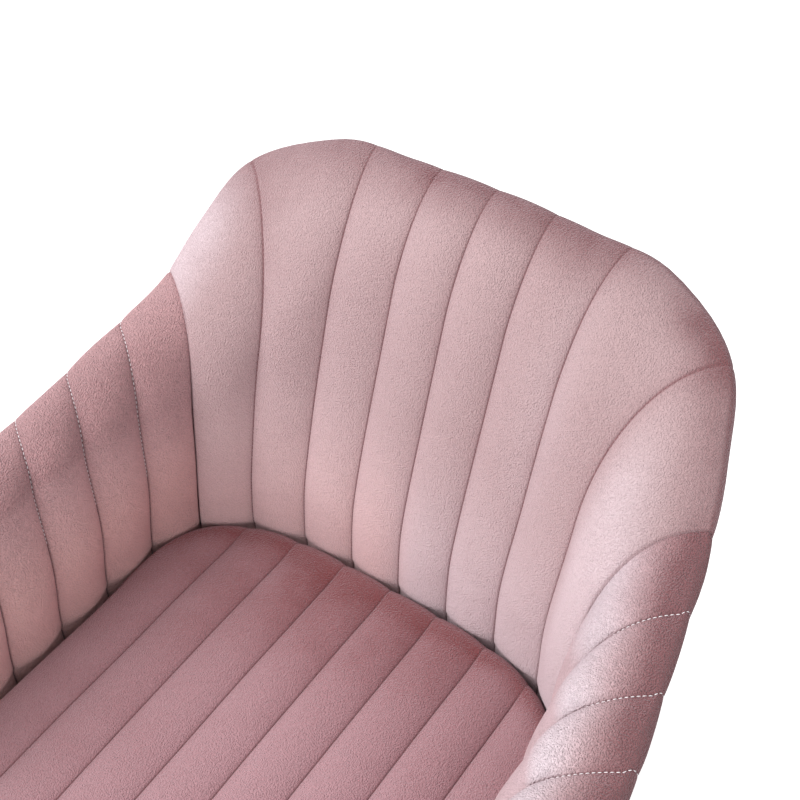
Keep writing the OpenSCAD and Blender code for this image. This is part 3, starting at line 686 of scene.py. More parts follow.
@dataclass(frozen=True)
class Quilting:
    """Cross-section of the sewn channels, and how it fades over the rim.

    Attributes:
        puff: rise of a channel from its seams to its crown.
        crest: how far the crown stands above the smooth wall.
        flatness: power of the arch between two seams.
        notch, notch_w: depth and width of the notch that the thread pulls.
        line_w: width of the dark sewn line, which holds painted shade in the seam's valley.
        shade, shade_w: strength and width of the painted shade beside the line.
        pitch: width of a channel.
        columns: columns of points in a channel.
        bunching: how closely the columns stand beside a seam.
    """

    puff: float = 0.0074
    crest: float = 0.0016
    flatness: float = 2.1
    notch: float = 0.0009
    notch_w: float = 0.0008
    line_w: float = 0.0008
    shade: float = 0.20
    shade_w: float = 0.0048
    pitch: float = 0.062
    columns: int = 26
    bunching: float = 4.0

    def steps(self, stops: list[float]) -> Array:
        """Values between the stops, bunched up beside each of them by a hyperbolic sine.

        Args:
            stops: values in rising order.

        Returns:
            The stops, with the same number of steps between each two of them.
        """
        k = np.linspace(-1, 1, self.columns + 1)[:-1]
        close = np.sinh(self.bunching * (1 - np.abs(k))) / math.sinh(self.bunching)
        bunch = np.where(k < 0, close, 2 - close) / 2
        parts = [a + (b - a) * bunch for a, b in zip(stops, stops[1:])]
        return np.concatenate([*parts, stops[-1:]])

    def across(self, at: Array, stops: list[float], size: float) -> tuple[Array, Array]:
        """Place in a channel, and the distance to the nearer seam.

        Args:
            at: places along the quilting.
            stops: places of the seams and of both ends, in rising order.
            size: metres in one unit of the places.

        Returns:
            The share of the channel passed, from 0 to 1, and the distance in metres.
        """
        edges = np.array(stops)
        i = np.clip(np.searchsorted(edges, at, side="right") - 1, 0, len(edges) - 2)
        f = (at - edges[i]) / (edges[i + 1] - edges[i])
        width = (edges[i + 1] - edges[i]) * size
        return f, np.minimum(f, 1 - f) * width

    def height(self, f: Array) -> Array:
        """Height of the cloth between two seams: an arch with a flat top.

        Args:
            f: place in the channel, from 0 to 1.

        Returns:
            Metres above the smooth wall, below 0 at the seams.
        """
        arch = 1 - np.abs(2 * f - 1) ** self.flatness
        return self.puff * arch - (self.puff - self.crest)

    def groove(self, far: Array) -> Array:
        """Depth of the sharp notch that the thread pulls at a seam."""
        return self.notch * np.exp(-(far / self.notch_w) ** 2)

    def line(self, far: Array) -> Array:
        """How strongly a seam darkens the cloth with its line and painted shade: a narrow bell on a wide,
        weak one.

        Args:
            far: distance to the seam.

        Returns:
            A share from 0 to 1.
        """
        narrow = np.exp(-(far / self.line_w) ** 2)
        return np.maximum(narrow, self.shade * np.exp(-(far / self.shade_w) ** 2))


def soft_waves(p: Array, size: float, seed: int) -> Array:
    """Slow unevenness of stuffed cloth: a sum of six plane waves of 8 to 20 cm.

    Args:
        p: points, shaped (..., 3).
        size: largest height, in metres.
        seed: fixes the directions and phases of the waves.

    Returns:
        A height for each point.
    """
    rng = np.random.default_rng(seed)
    way = rng.normal(size=(6, 3))
    way /= np.linalg.norm(way, axis=1, keepdims=True)
    length = rng.uniform(0.08, 0.20, size=6)
    phase = rng.uniform(0, 2 * np.pi, size=6)
    wave = np.sin(np.einsum("...k,jk->...j", p, way) * 2 * np.pi / length + phase)
    return wave.sum(axis=-1) * size / 6


@dataclass
class Wall:
    """A quilted pad of the tub, from one station to another, on one or both sides.

    Attributes:
        tub, quilt: shape of the tub and of the quilting.
        node, name: the node that the pad stands for, and the pad's own name.
        first, last, seams: stations of both ends and of the seams between them.
        side: side of an arm, or None for the back.
        rim_puff: share of the quilting that is left on the rim.
        fade_from, fade_to: where past the wall the quilting fades.
        tuck, tuck_h: how far the foot is tucked in, and up to which height.
        join_depth, join_w: depth and width of the dip at both ends.
        join_line, rim_line: strength of the sewn lines at both ends and over the rim.
        wave, wave_seed: height and seed of the slow unevenness.
        sitter: point towards which the inner face looks.
        lap_h: height of the lap that turns in under the rim.
        rim_from, rim_to: reach between which the rim turns dark, partly nap and partly painted shade.
        wing_from: station where the back's wings begin.
        slide: how far the rim of an arm is pushed back.
        crest_at, crest_w: place and width of the painted highlight along the right arm.
        painted_bounce_share, painted_bounce_h: strength of the painted bounce light beside the seat, and
            where it ends.
        inflation: the stuffing.
        rows_wall, rows_roll, rows_edge, rows_lap: rows of points on each part of the section.
        thread_lift: height of the stitches above the cloth.
        thread_from, thread_turn: shares of the wall's rows where the stitches start, and where
            the thread of the rim takes over.
    """

    tub: Tub
    quilt: Quilting
    node: str
    name: str
    first: float
    last: float
    seams: tuple[float, ...]
    side: Side | None = None
    rim_puff: float = 0.14
    fade_from: float = 0.2
    fade_to: float = 1.3
    tuck: float = 0.0035
    tuck_h: float = 0.012
    join_depth: float = 0.0004
    join_w: float = 0.003
    join_line: float = 0.35
    rim_line: float = 0.75
    wave: float = 0.0010
    wave_seed: int = 7
    sitter: tuple[float, float, float] = (0.0, -0.10, 0.62)
    lap_h: float = 0.0048
    rim_from: float = 0.40
    rim_to: float = 1.10
    wing_from: float = 2.9
    slide: float = 0.008
    crest_at: float = 0.30
    crest_w: float = 0.22
    painted_bounce_share: float = 0.75
    painted_bounce_h: float = 0.24
    inflation: Inflation = Inflation()
    rows_wall: int = 70
    rows_roll: int = 30
    rows_edge: int = 12
    rows_lap: int = 4
    thread_lift: float = 0.0
    thread_from: float = 0.16
    thread_turn: float = 0.80

    def signed(self) -> Array:
        """Stations with their side: a wall with no side runs over the middle of the back."""
        return self.quilt.steps(self.stops())

    def stops(self) -> list[float]:
        """Stations of the seams and of both ends."""
        return [self.first, *self.seams, self.last]

    def sign(self) -> Array | float:
        """The side of the chair on which each station stands.

        Returns:
            1, or -1 where the section is mirrored.
        """
        if self.side is not None:
            return self.side.value
        return np.where(self.stations < 0, -1.0, 1.0)[:, None]

    def section(self) -> Array:
        """Smooth face of the pad: up the wall, over the roll and its edge, and down a lap.

        It also keeps `past`, which runs from 0 to 1 on the roll, to 2 on the edge and to 3
        on the lap, and `reach`, which is the same but counts the wall from -1 to 0.

        Returns:
            Points in the chair's frame, shaped (stations, rows, 3).
        """
        tub, u = self.tub, np.abs(self.stations)[:, None]
        wide = np.ones_like
        k = np.linspace(0, 1, self.rows_wall)[None, :]
        q, e, lap = (np.linspace(0, 1, count + 1)[None, 1:]
                     for count in (self.rows_roll, self.rows_edge, self.rows_lap))
        roll_z = tub.rim_h.at(u) - tub.roll_h.at(u)
        edge_z = tub.rim_h.at(u) - tub.edge_r.at(u)
        p = np.concatenate([
            tub.inner(u * wide(k), mix(CLEAR - tub.cushion_t, roll_z, k)),
            tub.roll(u * wide(q), q * wide(u)),
            tub.edge(u * wide(e), e * wide(u)),
            tub.outer(u * wide(lap), mix(edge_z, tub.seam_z(u), lap)),
        ], axis=1)
        self.past = np.concatenate([k * 0, q, 1 + e, 2 + lap], axis=1) * wide(u)
        self.reach = np.concatenate([k - 1, q, 1 + e, 2 + lap], axis=1) * wide(u)
        if self.side is not None:
            p = tub.squared(u, p)
            inside = step(u, self.first, self.first + 0.7) * step(-u, -9.6, -8.0)
            p[..., 1] += self.slide * ease(self.past - 0.5) * inside
        return tub.place(p, self.sign())

    def facing(self, p: Array) -> Array:
        """Normals of the shown face: towards the sitter, then up, then away from the sitter.

        Args:
            p: points of the face.

        Returns:
            A unit normal for each point.
        """
        inward = (np.array(self.sitter) - p) * np.array([1, 1, 0])
        past = self.past[..., None]
        n = grid_normals(p, np.where(past > 0.5, np.array([0, 0, 1.0]), inward))
        return np.where(past > 1.4, grid_normals(p, -inward), n)

    def raised(self, p: Array, f: Array, far: Array, ends: Array) -> Array:
        """Quilting: channels that fade over the rim, with notches, a join at both ends and a tuck.

        Args:
            p: points of the smooth face.
            f: place of each station in its channel, from 0 to 1.
            far: distance of each station to the nearer seam.
            ends: distance of each station to the nearer end of the pad, shaped (n, 1).

        Returns:
            Metres along the normal, for each point.
        """
        fade = mix(1.0, self.rim_puff, step(self.past, self.fade_from, self.fade_to))
        rise = self.quilt.height(f)[:, None] * fade - self.quilt.groove(far)[:, None] * np.maximum(fade, 0.5)
        rise = rise - self.join_depth * np.exp(-(ends / self.join_w) ** 2)
        z = p[..., 2] - self.tub.seat_line
        rise = rise - self.tuck * np.clip(1 - z / self.tuck_h, 0, 1) ** 2
        return rise + soft_waves(p, self.wave, self.wave_seed) * (ends > 0)

    def shown(self) -> None:
        """Works out the shown face with its quilting, its normals and its sewn lines."""
        self.stations = self.signed()
        p = self.section()
        n = self.normals = self.facing(p)
        f, far = self.quilt.across(self.stations, self.stops(), self.quilt.pitch)
        ends = np.minimum(self.stations - self.first, self.last - self.stations)[:, None] * self.quilt.pitch
        self.points = p + n * self.raised(p, f, far, ends)[..., None]
        self.points = self.points + n * self.filled(f, n, p[..., 2] - self.tub.seat_line)[..., None]
        self.lines = self.quilt.line(far)[:, None] * mix(1.0, self.rim_line, ease(self.past))
        self.lines = self.lines * mix(self.join_line, 1.0, ease(ends / 0.02))

    def filled(self, f: Array, n: Array, z: Array) -> Array:
        """Lift of the cover between its seams, from a cloth simulation.

        Args:
            f: place of each station in its channel, from 0 to 1.
            n: normals of the shown face.
            z: heights above the seat line.

        Returns:
            The lift of each point.
        """
        last = self.points.shape[1] - 1
        shares = np.round(np.linspace(0, self.quilt.columns, 9)[:-1]).astype(int)
        starts = np.arange(0, len(f) - 1, self.quilt.columns)
        rows = np.append((starts[:, None] + shares[None, :]).ravel(), len(f) - 1)
        cols = np.unique(np.append(np.arange(0, last, 2), last))
        held = np.zeros(self.points.shape[:2], dtype=bool)
        held[starts] = held[-1] = True
        held[:, [0, last]] = True
        held |= z < self.tuck_h
        moved = self.inflation.lift(self.points, n, rows, cols, held)
        LOG.info("%s: cloth lifts it %.1f to %.1f mm", self.name, moved.min() / MM, moved.max() / MM)
        return moved

    def hidden(self) -> Array:
        """The face that lies on the shell, from the lap under the rim down to the seat.

        Returns:
            Points in the chair's frame, shaped (stations, rows, 3).
        """
        tub = self.tub
        u = np.abs(self.stations)[:, None]
        lap = tub.skin_t + tub.gap
        shell = lap + tub.ply_t
        seam = tub.seam_z(u)
        top = seam - self.lap_h
        k = np.linspace(0, 1, 9)[None, :]
        back = tub.outer(u * np.ones_like(k), mix(top - 0.004, CLEAR - tub.cushion_t, k), shell)
        p = np.concatenate([tub.outer(u, seam, lap), tub.outer(u, top, lap), tub.outer(u, top, shell), back],
                           axis=1)
        if self.side is not None:
            p[..., 1] += (self.points[..., -1:, 1] - tub.setback - p[:, :1, 1]) * (u > tub.last - 1)
        return tub.place(p, self.sign())

    def sewn(self, thread: Thread, row_from: int,
             row_to: int | None = None) -> tuple[Array, list[list[int]]]:
        """Stitches down every seam of the pad.

        Args:
            thread: the thread to sew with.
            row_from: first row of the face that is stitched.
            row_to: row where the stitching ends, or None for the last.

        Returns:
            Points and faces of the stitches.
        """
        runs = []
        for seam in self.seams:
            i = int(np.argmin(np.abs(self.stations - seam)))
            rows = slice(row_from, row_to)
            runs.append(thread.sew(self.points[i, rows], self.normals[i, rows], self.thread_lift))
        return join_meshes(runs)

    def nap_and_painted_light(self) -> tuple[Array, Array, Array]:
        """Dark nap with painted shade, painted light and painted bounce light over the pad.

        Returns:
            Shares of dark nap with painted shade, of painted light and of painted bounce light, from 0 to 1.
        """
        u, reach = self.stations[:, None], self.reach
        low = 1 - ease((self.points[..., 2] - self.tub.seat_line) / self.painted_bounce_h)
        if self.side is None:
            return self.back_nap_and_painted_light(u, reach, low)
        if self.side is Side.LEFT:
            # Left arm: dark nap with painted shade over the roll, and painted bounce light low down.
            strength = mix(0.25, 0.42, step(u, 4.5, 6.0))
            dark = strength * step(reach, -0.15, 0.25) * (1 - 0.55 * step(reach, 0.6, 1.1))
            return dark, 0 * reach, 0.95 * ease(1.3 * low)
        # Right arm: dark nap with painted shade on the rim, a painted highlight on the crest, and a little
        # painted bounce light low down.
        dark = step(reach, self.rim_from, self.rim_to)
        pale = np.exp(-((self.past - self.crest_at) / self.crest_w) ** 2)
        return dark, pale, 0.3 * low

    def back_nap_and_painted_light(self, u: Array, reach: Array, low: Array) -> tuple[Array, Array, Array]:
        """The back's nap with painted light and shade, which differ on its left and its right half.

        Args:
            u: stations, shaped (n, 1).
            reach: place along the section: wall from -1, roll from 0, edge from 1.
            low: 1 at the seat line, falling to 0 at the height where the painted bounce light ends.

        Returns:
            Shares of dark nap with painted shade, of painted light and of painted bounce light.
        """
        right = step(u, -0.5, 0.5)
        wing = step(np.abs(u), self.wing_from, self.wing_from + 0.6)
        # The rim turns dark, partly nap and partly painted shade: later on the right, and less on the
        # left corner and wing.
        late = 0.30 * step(u, 1.6, 2.8)
        dark = step(reach - late, self.rim_from, self.rim_to)
        corner = step(-u, 1.2, 2.0) * mix(0.15, 0.40, step(-u, 2.2, 2.7)) * (1 - wing)
        dark = dark * mix(1 - 0.75 * wing - corner, 1 - 0.1 * wing, right)
        # Painted shade: its outer edge is darker near the middle, and the left side has a faint shade.
        dark = dark + 0.25 * step(reach, 0.8, 1.1) * step(u, -2.2, -1.4) * step(-u, -1.0, 0.5)
        dark = np.maximum(dark, 0.12 * step(-u, 1.6, 2.8) * (1 - self.past) * (1 - low))
        # Painted shade: the outer edge of the right wing is dark, most of all where the wing begins.
        edge = step(reach, 0.68, 1.03) * step(u, 2.4, 2.8)
        dark = np.maximum(dark, edge * (1 - 0.45 * step(u, 2.9, 3.3)))
        # The wings are paler, partly brushed nap and partly painted light; the foot and one channel
        # on the right get painted light.
        pale = wing * mix(0.8 * step(self.past, 0.5, 1.0), 0.6 * ease(1.8 - 2.2 * self.past), right)
        pale = np.maximum(pale, mix(0.50, 0.55, right) * low)
        pale = np.maximum(pale, 0.12 * np.exp(-(((u - 2) / 0.45) ** 2)) * ease(1 - self.past))
        # Painted bounce light lies low down on the left half.
        return dark, pale, self.painted_bounce_share * (1 - right) * low

    def make(self, material: bpy.types.Material, slot: str, thread: Thread,
             thread_material: bpy.types.Material, rim_thread: bpy.types.Material) -> None:
        """Builds the pad, its stitches, and the stitches over its rim in a finish of their own.

        Args:
            material: velvet of the pad.
            slot: material slot of the pad and of its stitches.
            thread: the thread to sew with.
            thread_material: finish of the stitches on the wall, a thread with painted shade.
            rim_thread: finish of the stitches over the rim.
        """
        self.shown()
        back = self.hidden()
        points, faces = ring_loft(self.points, back)
        # The pad's dark nap with painted shade, its painted light and its painted bounce light.
        nap, light, painted_bounce = self.nap_and_painted_light()
        values = {"seam": shown_values(back, self.lines),
                  "rim": shown_values(back, nap),
                  "light": shown_values(back, light),
                  "painted_bounce": shown_values(back, painted_bounce)}
        Piece(self.name, points, faces, "seat", slot, material, replaces=(self.node,), fill=0.8,
              values=values, sharp=60).make()
        foot, turn = int(self.rows_wall * self.thread_from), int(self.rows_wall * self.thread_turn)
        points, faces = self.sewn(thread, foot, turn)
        Piece(self.name + "_stitches", points, faces, "seat", slot, thread_material).make()
        points, faces = self.sewn(thread, turn)
        Piece(self.name + "_rim_stitches", points, faces, "seat", slot, rim_thread).make()


@dataclass
class Cushion:
    """The quilted seat: straight channels that turn down over the front edge.

    Attributes:
        tub, quilt: shape of the tub and of the quilting.
        depth: distance from the inner back to the front edge.
        gap: clearance to the tub.
        crown, crown_at: height of the top above the seat line, and where it is highest.
        fall_y, fall_x: how far the top falls in 150 mm to the front and in 180 mm to a side.
        seams: x of each seam.
        rear_r, side_r, front_r, foot_r: radii of the edges.
        rear_fade: distance over which the quilting fades towards the back.
        side_h: depth over which the sides round down.
        corner_r: radius of the front corners in plan.
        wave, wave_seed: height and seed of the slow unevenness.
        heart: point inside the cushion, from which its faces look away.
        rows_top, rows_front: rows of points on the top and round the front edge.
        first_stitched: first row of points that is stitched.
    """

    tub: Tub
    quilt: Quilting
    depth: float = 0.484
    gap: float = 0.0014
    crown: float = 0.020
    crown_at: float = -0.170
    fall_y: float = 0.00305
    fall_x: float = 0.0019
    seams: tuple[float, ...] = (-0.178, -0.120, -0.0588, 0.0, 0.0588, 0.120, 0.178)
    rear_r: float = 0.016
    rear_fade: float = 0.045
    side_r: float = 0.012
    side_h: float = 0.030
    wave: float = 0.0012
    wave_seed: int = 11
    heart: tuple[float, float, float] = (0.0, -0.24, -0.07)
    rows_top: int = 84
    rows_front: int = 17
    first_stitched: int = 10
    front_r: float = 0.040
    corner_r: float = 0.040
    foot_r: float = 0.010

    def columns(self) -> Array:
        """Values of x from side to side, bunched beside the seams and the sides."""
        half = float(self.half(np.array(0.0)))
        return self.quilt.steps([-half, *self.seams, half])

    def half(self, y: Array) -> Array:
        """Half-width of the seat: straight beside the round corners, then splayed."""
        tub = self.tub
        return tub.half_w - self.gap + tub.splay * np.maximum(-tub.corner_d - y, 0)

    def rear(self, x: Array) -> Array:
        """Back edge of the seat: the plan's superellipse, less the gap.

        Args:
            x: columns.

        Returns:
            y at each column.
        """
        tub = self.tub
        k = np.clip(np.abs(x) / (tub.half_w - self.gap), 0, 1)
        return tub.corner_d * ((1 - k ** tub.power) ** (1 / tub.power) - 1) - self.gap

    def front(self, x: Array) -> Array:
        """Front edge of the seat, round at its corners.

        Args:
            x: columns.

        Returns:
            y at each column.
        """
        half = self.half(np.array(0.0))
        k = np.clip((np.abs(x) - (half - self.corner_r)) / self.corner_r, 0, 1)
        return -self.depth + self.corner_r * (1 - np.sqrt(1 - k * k))

    def crowned(self, x: Array, y: Array) -> Array:
        """Height of the smooth top above the seat line: a shallow bowl turned over."""
        return self.crown - self.fall_y * ((y - self.crown_at) / 0.150) ** 2 - self.fall_x * (x / 0.180) ** 2

    def section(self, x: Array) -> tuple[Array, Array, Array]:
        """Loop from the rear's foot, over the top, down the front and back underneath.

        Args:
            x: columns, shaped (n, 1).

        Returns:
            y and z of each point, and a share that is 1 on the quilted top and front.
        """
        rear, front = self.rear(x), self.front(x)
        foot = CLEAR - self.tub.cushion_t
        top_a, top_b = rear - self.rear_r, front + self.front_r
        angle = np.radians(np.linspace(0, 90, 9))[None, :]
        ys, zs, quilted = [], [], []

        def add(y: Array, z: Array, share: float) -> None:
            """Adds points of the loop, spread over all columns.

            Args:
                y: places from front to rear.
                z: heights above the seat line.
                share: how much of the quilting shows there.
            """
            ys.append(y + 0 * x + 0 * z)
            zs.append(z + 0 * x + 0 * y)
            quilted.append(np.full(ys[-1].shape, share))

        rise = self.crowned(x, top_a) - self.rear_r
        add(rear, mix(foot + self.foot_r, rise, np.linspace(0, 0.95, 6)[None, :]), 0.0)
        add(top_a + self.rear_r * np.cos(angle), rise + self.rear_r * np.sin(angle), 1.0)
        even = np.linspace(0, 1, self.rows_top)[None, 1:-1]
        flat_y = mix(top_a, top_b, 0.35 * (1 - np.cos(np.pi * even)) / 2 + 0.65 * even)
        add(flat_y, self.crowned(x, flat_y), 1.0)
        lip = self.crowned(x, top_b) - self.front_r
        turn = np.radians(np.linspace(0, 90, self.rows_front))[None, :]
        add(top_b - self.front_r * np.sin(turn), lip + self.front_r * np.cos(turn), 1.0)
        add(front, mix(lip, foot + self.foot_r, np.linspace(0.06, 1, 12)[None, :]), 1.0)
        add(front + self.foot_r * (1 - np.cos(angle[:, 1:])),
            foot + self.foot_r * (1 - np.sin(angle[:, 1:])), 0.4)
        add(mix(front + self.foot_r, rear - self.foot_r, np.linspace(0.02, 1, 10)[None, :]),
            foot + 0 * x, 0.0)
        add(rear - self.foot_r * (1 - np.sin(angle[:, 1:-1])),
            foot + self.foot_r * (1 - np.cos(angle[:, 1:-1])), 0.0)
        return np.concatenate(ys, axis=1), np.concatenate(zs, axis=1), np.concatenate(quilted, axis=1)

    def rounded(self, x: Array, y: Array, z: Array, half: float) -> Array:
        """The loop, splayed with the arms and rounded down at both sides.

        Args:
            x: columns, shaped (n, 1).
            y: y of each point of the loop.
            z: heights of the loop.
            half: half-width beside the round corners.

        Returns:
            Section points, shaped (columns, rows, 3).
        """
        splay = (self.half(y) - half) * ease(np.abs(x) / half * 1.6 - 0.6) * np.sign(x)
        in_side = np.clip(1 - (half - np.abs(x)) / self.side_r, 0, 1)
        fall = self.side_r * (1 - np.sqrt(1 - in_side ** 2))
        z = np.where(z > -self.side_h, z - fall * step(z, -self.side_h, 0.0), z)
        return np.stack([x + splay + 0 * y, y, z], axis=-1)

    def nap_and_painted_light(self, x: Array, y: Array) -> Array:
        """Dark share: nap and painted shade beside the back and on the left, darker over the front edge.

        Args:
            x: columns, shaped (n, 1).
            y: y of each point.

        Returns:
            A share for each point.
        """
        spread = mix(1.0, np.where(x > 0, 0.35, 0.7), ease(np.abs(x) / 0.2))
        back_off = self.rear(x) - y
        # A broad shade, partly nap and partly painted shade, and a narrow painted shade beside the back,
        # then painted shade on the left half, then darker over the front edge.
        nap = 0.95 * spread * (1 - ease(back_off / 0.24)) + 0.85 * np.exp(-(back_off / 0.026) ** 2)
        nap = nap + 0.16 * ease(0.2 - x / 0.2) * ease(back_off / 0.1)
        return nap + 0.25 * (1 - ease((y + self.depth) / 0.05))

    def make(self, material: bpy.types.Material, thread: Thread, thread_material: bpy.types.Material) -> None:
        """Builds the cushion and its stitches.

        Args:
            material: velvet of the cushion.
            thread: the thread to sew with.
            thread_material: finish of the stitches.
        """
        x = self.columns()[:, None]
        y, z, share = self.section(x)
        half = float(self.half(np.array(0.0)))
        p = self.rounded(x, y, z, half)
        n = grid_normals(p, p - np.array(self.heart))
        f, far = self.quilt.across(x[:, 0], [-half, *self.seams, half], 1.0)
        close = ease((self.rear(x) - y) / self.rear_fade)
        rise = self.quilt.height(f)[:, None] * share * mix(0.25, 1.0, close)
        rise = rise - self.quilt.groove(far)[:, None] * share * mix(0.5, 1.0, close)
        inside = half - np.abs(x)
        rise = np.where(inside < self.side_r, np.minimum(rise, -0.001 * share), rise)
        placed = self.tub.place(p)
        rise = rise + soft_waves(placed, self.wave, self.wave_seed) * share * ease(inside / 0.03)
        points = placed + n * rise[..., None]
        rows, cols = points.shape[:2]
        faces = grid_quads(rows, cols, wrap=True).tolist()
        faces += [list(range(cols)), list(range((rows - 1) * cols, rows * cols))]
        lines = self.quilt.line(far)[:, None] * share * (inside > 0.004)
        # The seat's dark share, partly nap and partly painted shade.
        values = {"seam": lines.ravel(), "rim": self.nap_and_painted_light(x, y).ravel()}
        Piece("seat_quilt", points.reshape(-1, 3), faces, "seat", "velvet_seat", material,
              replaces=("seat_cushion",), fill=0.85, values=values, sharp=60).make()
        last = share.shape[1] - int(np.argmax(share[0][::-1] > 0.9))
        span = slice(self.first_stitched, last)
        at = [int(np.argmin(np.abs(x[:, 0] - seam))) for seam in self.seams]
        points, faces = join_meshes([thread.sew(points[c, span], n[c, span], 0.0) for c in at])
        Piece("seat_stitches", points, faces, "seat", "velvet_seat", thread_material).make()


@dataclass
class OutsidePanel:
    """Plain velvet cover of the tub's outside, from one station to another.

    Attributes:
        tub: shape of the tub.
        node, name: the node that the panel stands for, and the panel's own name.
        first, last: stations of both ends.
        side: side of an arm, or None for the back.
        edge_r: radius of the turned-in edge.
        plump: rise of the middle over the edges.
        inset: distance of the stitches from the edges.
        wave, wave_seed: height and seed of the slow unevenness.
        columns, rows: size of the grid of points.
    """

    tub: Tub
    node: str
    name: str
    first: float
    last: float
    side: Side | None = None
    edge_r: float = 0.006
    plump: float = 0.0015
    inset: float = 0.008
    wave: float = 0.0012
    wave_seed: int = 23
    columns: int = 60
    rows: int = 60

    def make(self, material: bpy.types.Material, thread: Thread, thread_material: bpy.types.Material) -> None:
        """Builds the panel, with its edges turned in and a row of stitches beside them.

        Args:
            material: velvet of the panel.
            thread: the thread to sew with.
            thread_material: finish of the stitches.
        """
        tub = self.tub
        even = np.linspace(0, 1, self.columns + 1)
        signed = mix(self.first, self.last, 0.5 * (1 - np.cos(np.pi * even)) / 2 + 0.5 * even)
        sign = np.where(signed < 0, -1.0, 1.0)[:, None] if self.side is None else self.side.value
        u = np.abs(signed)[:, None]
        even = np.linspace(0, 1, self.rows + 1)
        v = 0.6 * (1 - np.cos(np.pi * even)) / 2 + 0.4 * even
        top = tub.seam_z(u) - 0.0008
        z = mix(-tub.skirt_h, top, v[None, :])
        p = tub.outer(u * np.ones_like(z), z)
        back = tub.outer(u * np.ones_like(z), z, tub.skin_t - tub.gap)
        if self.side is not None:
            p, back = tub.squared(u, p), tub.squared(u, back)
        p, back = tub.place(p, sign), tub.place(back, sign)
        n = grid_normals(p, p - np.array([0, -0.05, 0]) - np.array([0, 0, 1.0]) * p[..., 2:])
        wide = np.linalg.norm(np.diff(p, axis=0), axis=-1)
        run = np.concatenate([np.zeros((1, p.shape[1])), np.cumsum(wide, axis=0)])
        near = np.minimum(np.minimum(run, run[-1:] - run), np.minimum(z + tub.skirt_h, top - z))
        rise = self.plump * ease(near / 0.05) - 0.5 * turned_in(near, self.edge_r)
        rise = rise + soft_waves(p, self.wave, self.wave_seed) * ease(near / 0.03)
        shown = p + n * rise[..., None]
        points, faces = ring_loft(shown, back[:, ::-1][:, ::6])
        Piece(self.name, points, faces, "seat", "velvet_outside", material, replaces=(self.node,), fill=0.5,
              values=plain(points), sharp=50).make()
        r = int(np.argmin(np.abs((top - z).mean(axis=0) - self.inset)))
        runs = [thread.sew(shown[1:-1, r], n[1:-1, r], 0.0)]
        along = run[:, self.rows // 2]
        for far in (along, along[-1] - along):
            c = int(np.argmin(np.abs(far - self.inset)))
            runs.append(thread.sew(shown[c, 2:r], n[c, 2:r], 0.0))
        points, faces = join_meshes(runs)
        Piece(self.name + "_stitches", points, faces, "seat", "velvet_outside", thread_material).make()


@dataclass
class ArmNose:
    """Padded front of an arm: a pillow over the arm's square end.

    Attributes:
        tub: shape of the tub.
        side: side of the arm.
        depth: how far the nose stands in front of the arm.
        power: superellipse power across the nose.
        full_w: width of the arm at which the nose has its full depth.
        columns, rows, top_rows, lap_rows: points across the nose, up its side, over its top and
            beside the seam.
    """

    tub: Tub
    side: Side
    depth: float = 0.0257
    power: float = 3.2
    full_w: float = 0.050
    columns: int = 40
    rows: int = 80
    top_rows: int = 34
    lap_rows: int = 6

    def outline(self) -> tuple[Array, Array]:
        """Both edges of the arm's end.

        Returns:
            The inner and the outer edge, each from its foot to the middle of the top.
        """
        tub = self.tub
        u = np.full(1, tub.last)
        low, roll_z = -tub.skirt_h, tub.rim_h.at(u) - tub.roll_h.at(u)
        k = np.linspace(0, 1, self.rows)
        t = np.linspace(0, 1, self.top_rows + 1)[1:]
        full = partial(np.full, fill_value=tub.last)
        inner = tub.inner(full(self.rows), mix(low, roll_z, k))
        roll = tub.roll(full(self.top_rows), np.sin(np.pi / 2 * t))
        outer = tub.outer(full(self.rows), mix(low, tub.seam_z(u), k))
        lap = np.linspace(0, 1, self.lap_rows + 1)[1:]
        side_up = tub.outer(full(self.lap_rows), mix(tub.seam_z(u), tub.rim_h.at(u) - tub.edge_r.at(u), lap))
        left = self.top_rows - self.lap_rows
        turn = 1 - np.sin(np.pi / 2 * np.linspace(0, 1, left + 1)[1:])
        edge = tub.edge(full(left), turn)
        return np.concatenate([inner, roll]), np.concatenate([outer, side_up, edge])

    def make(self, material: bpy.types.Material) -> None:
        """Builds the nose: a superellipse across, that falls to its foot and narrows to its top.

        Args:
            material: velvet of the nose.
        """
        tub = self.tub
        a, b = self.outline()
        w = np.sin(np.pi / 2 * np.linspace(-1, 1, self.columns + 1))
        p = mix(a[:, None], b[:, None], (w + 1)[None, :, None] / 2)
        crown = np.maximum(1 - np.abs(w) ** self.power, 0) ** (1 / self.power)
        broad = np.clip(np.linalg.norm(b - a, axis=1)[:, None] / self.full_w, 0, 1)
        over_top = np.sqrt(np.clip(1 - (1 - broad) ** 2, 0, 1))
        height = np.clip((p[..., 2] + tub.skirt_h) / self.depth, 0, 1)
        foot = np.sqrt(np.clip(1 - (1 - height) ** 2, 0, 1))
        end = p.copy()
        end[..., 1] = -tub.arm_front - CLEAR
        p[..., 1] = -tub.arm_front - CLEAR - self.depth * crown[None, :] * over_top * foot
        shown, back = tub.place(p, self.side.value), tub.place(end, self.side.value)
        points = np.concatenate([shown, back[:, ::-1][:, 1:-1]], axis=1)
        rows, cols = points.shape[:2]
        faces = grid_quads(rows, cols, wrap=True).tolist()
        faces += [list(range(cols))]
        word = self.side.name.lower()
        points = points.reshape(-1, 3)
        Piece(f"{word}_arm_nose_pad", points, faces, "seat", "velvet_outside", material,
              replaces=(f"{word}_arm_nose",), fill=0.6, values=plain(points), sharp=50).make()


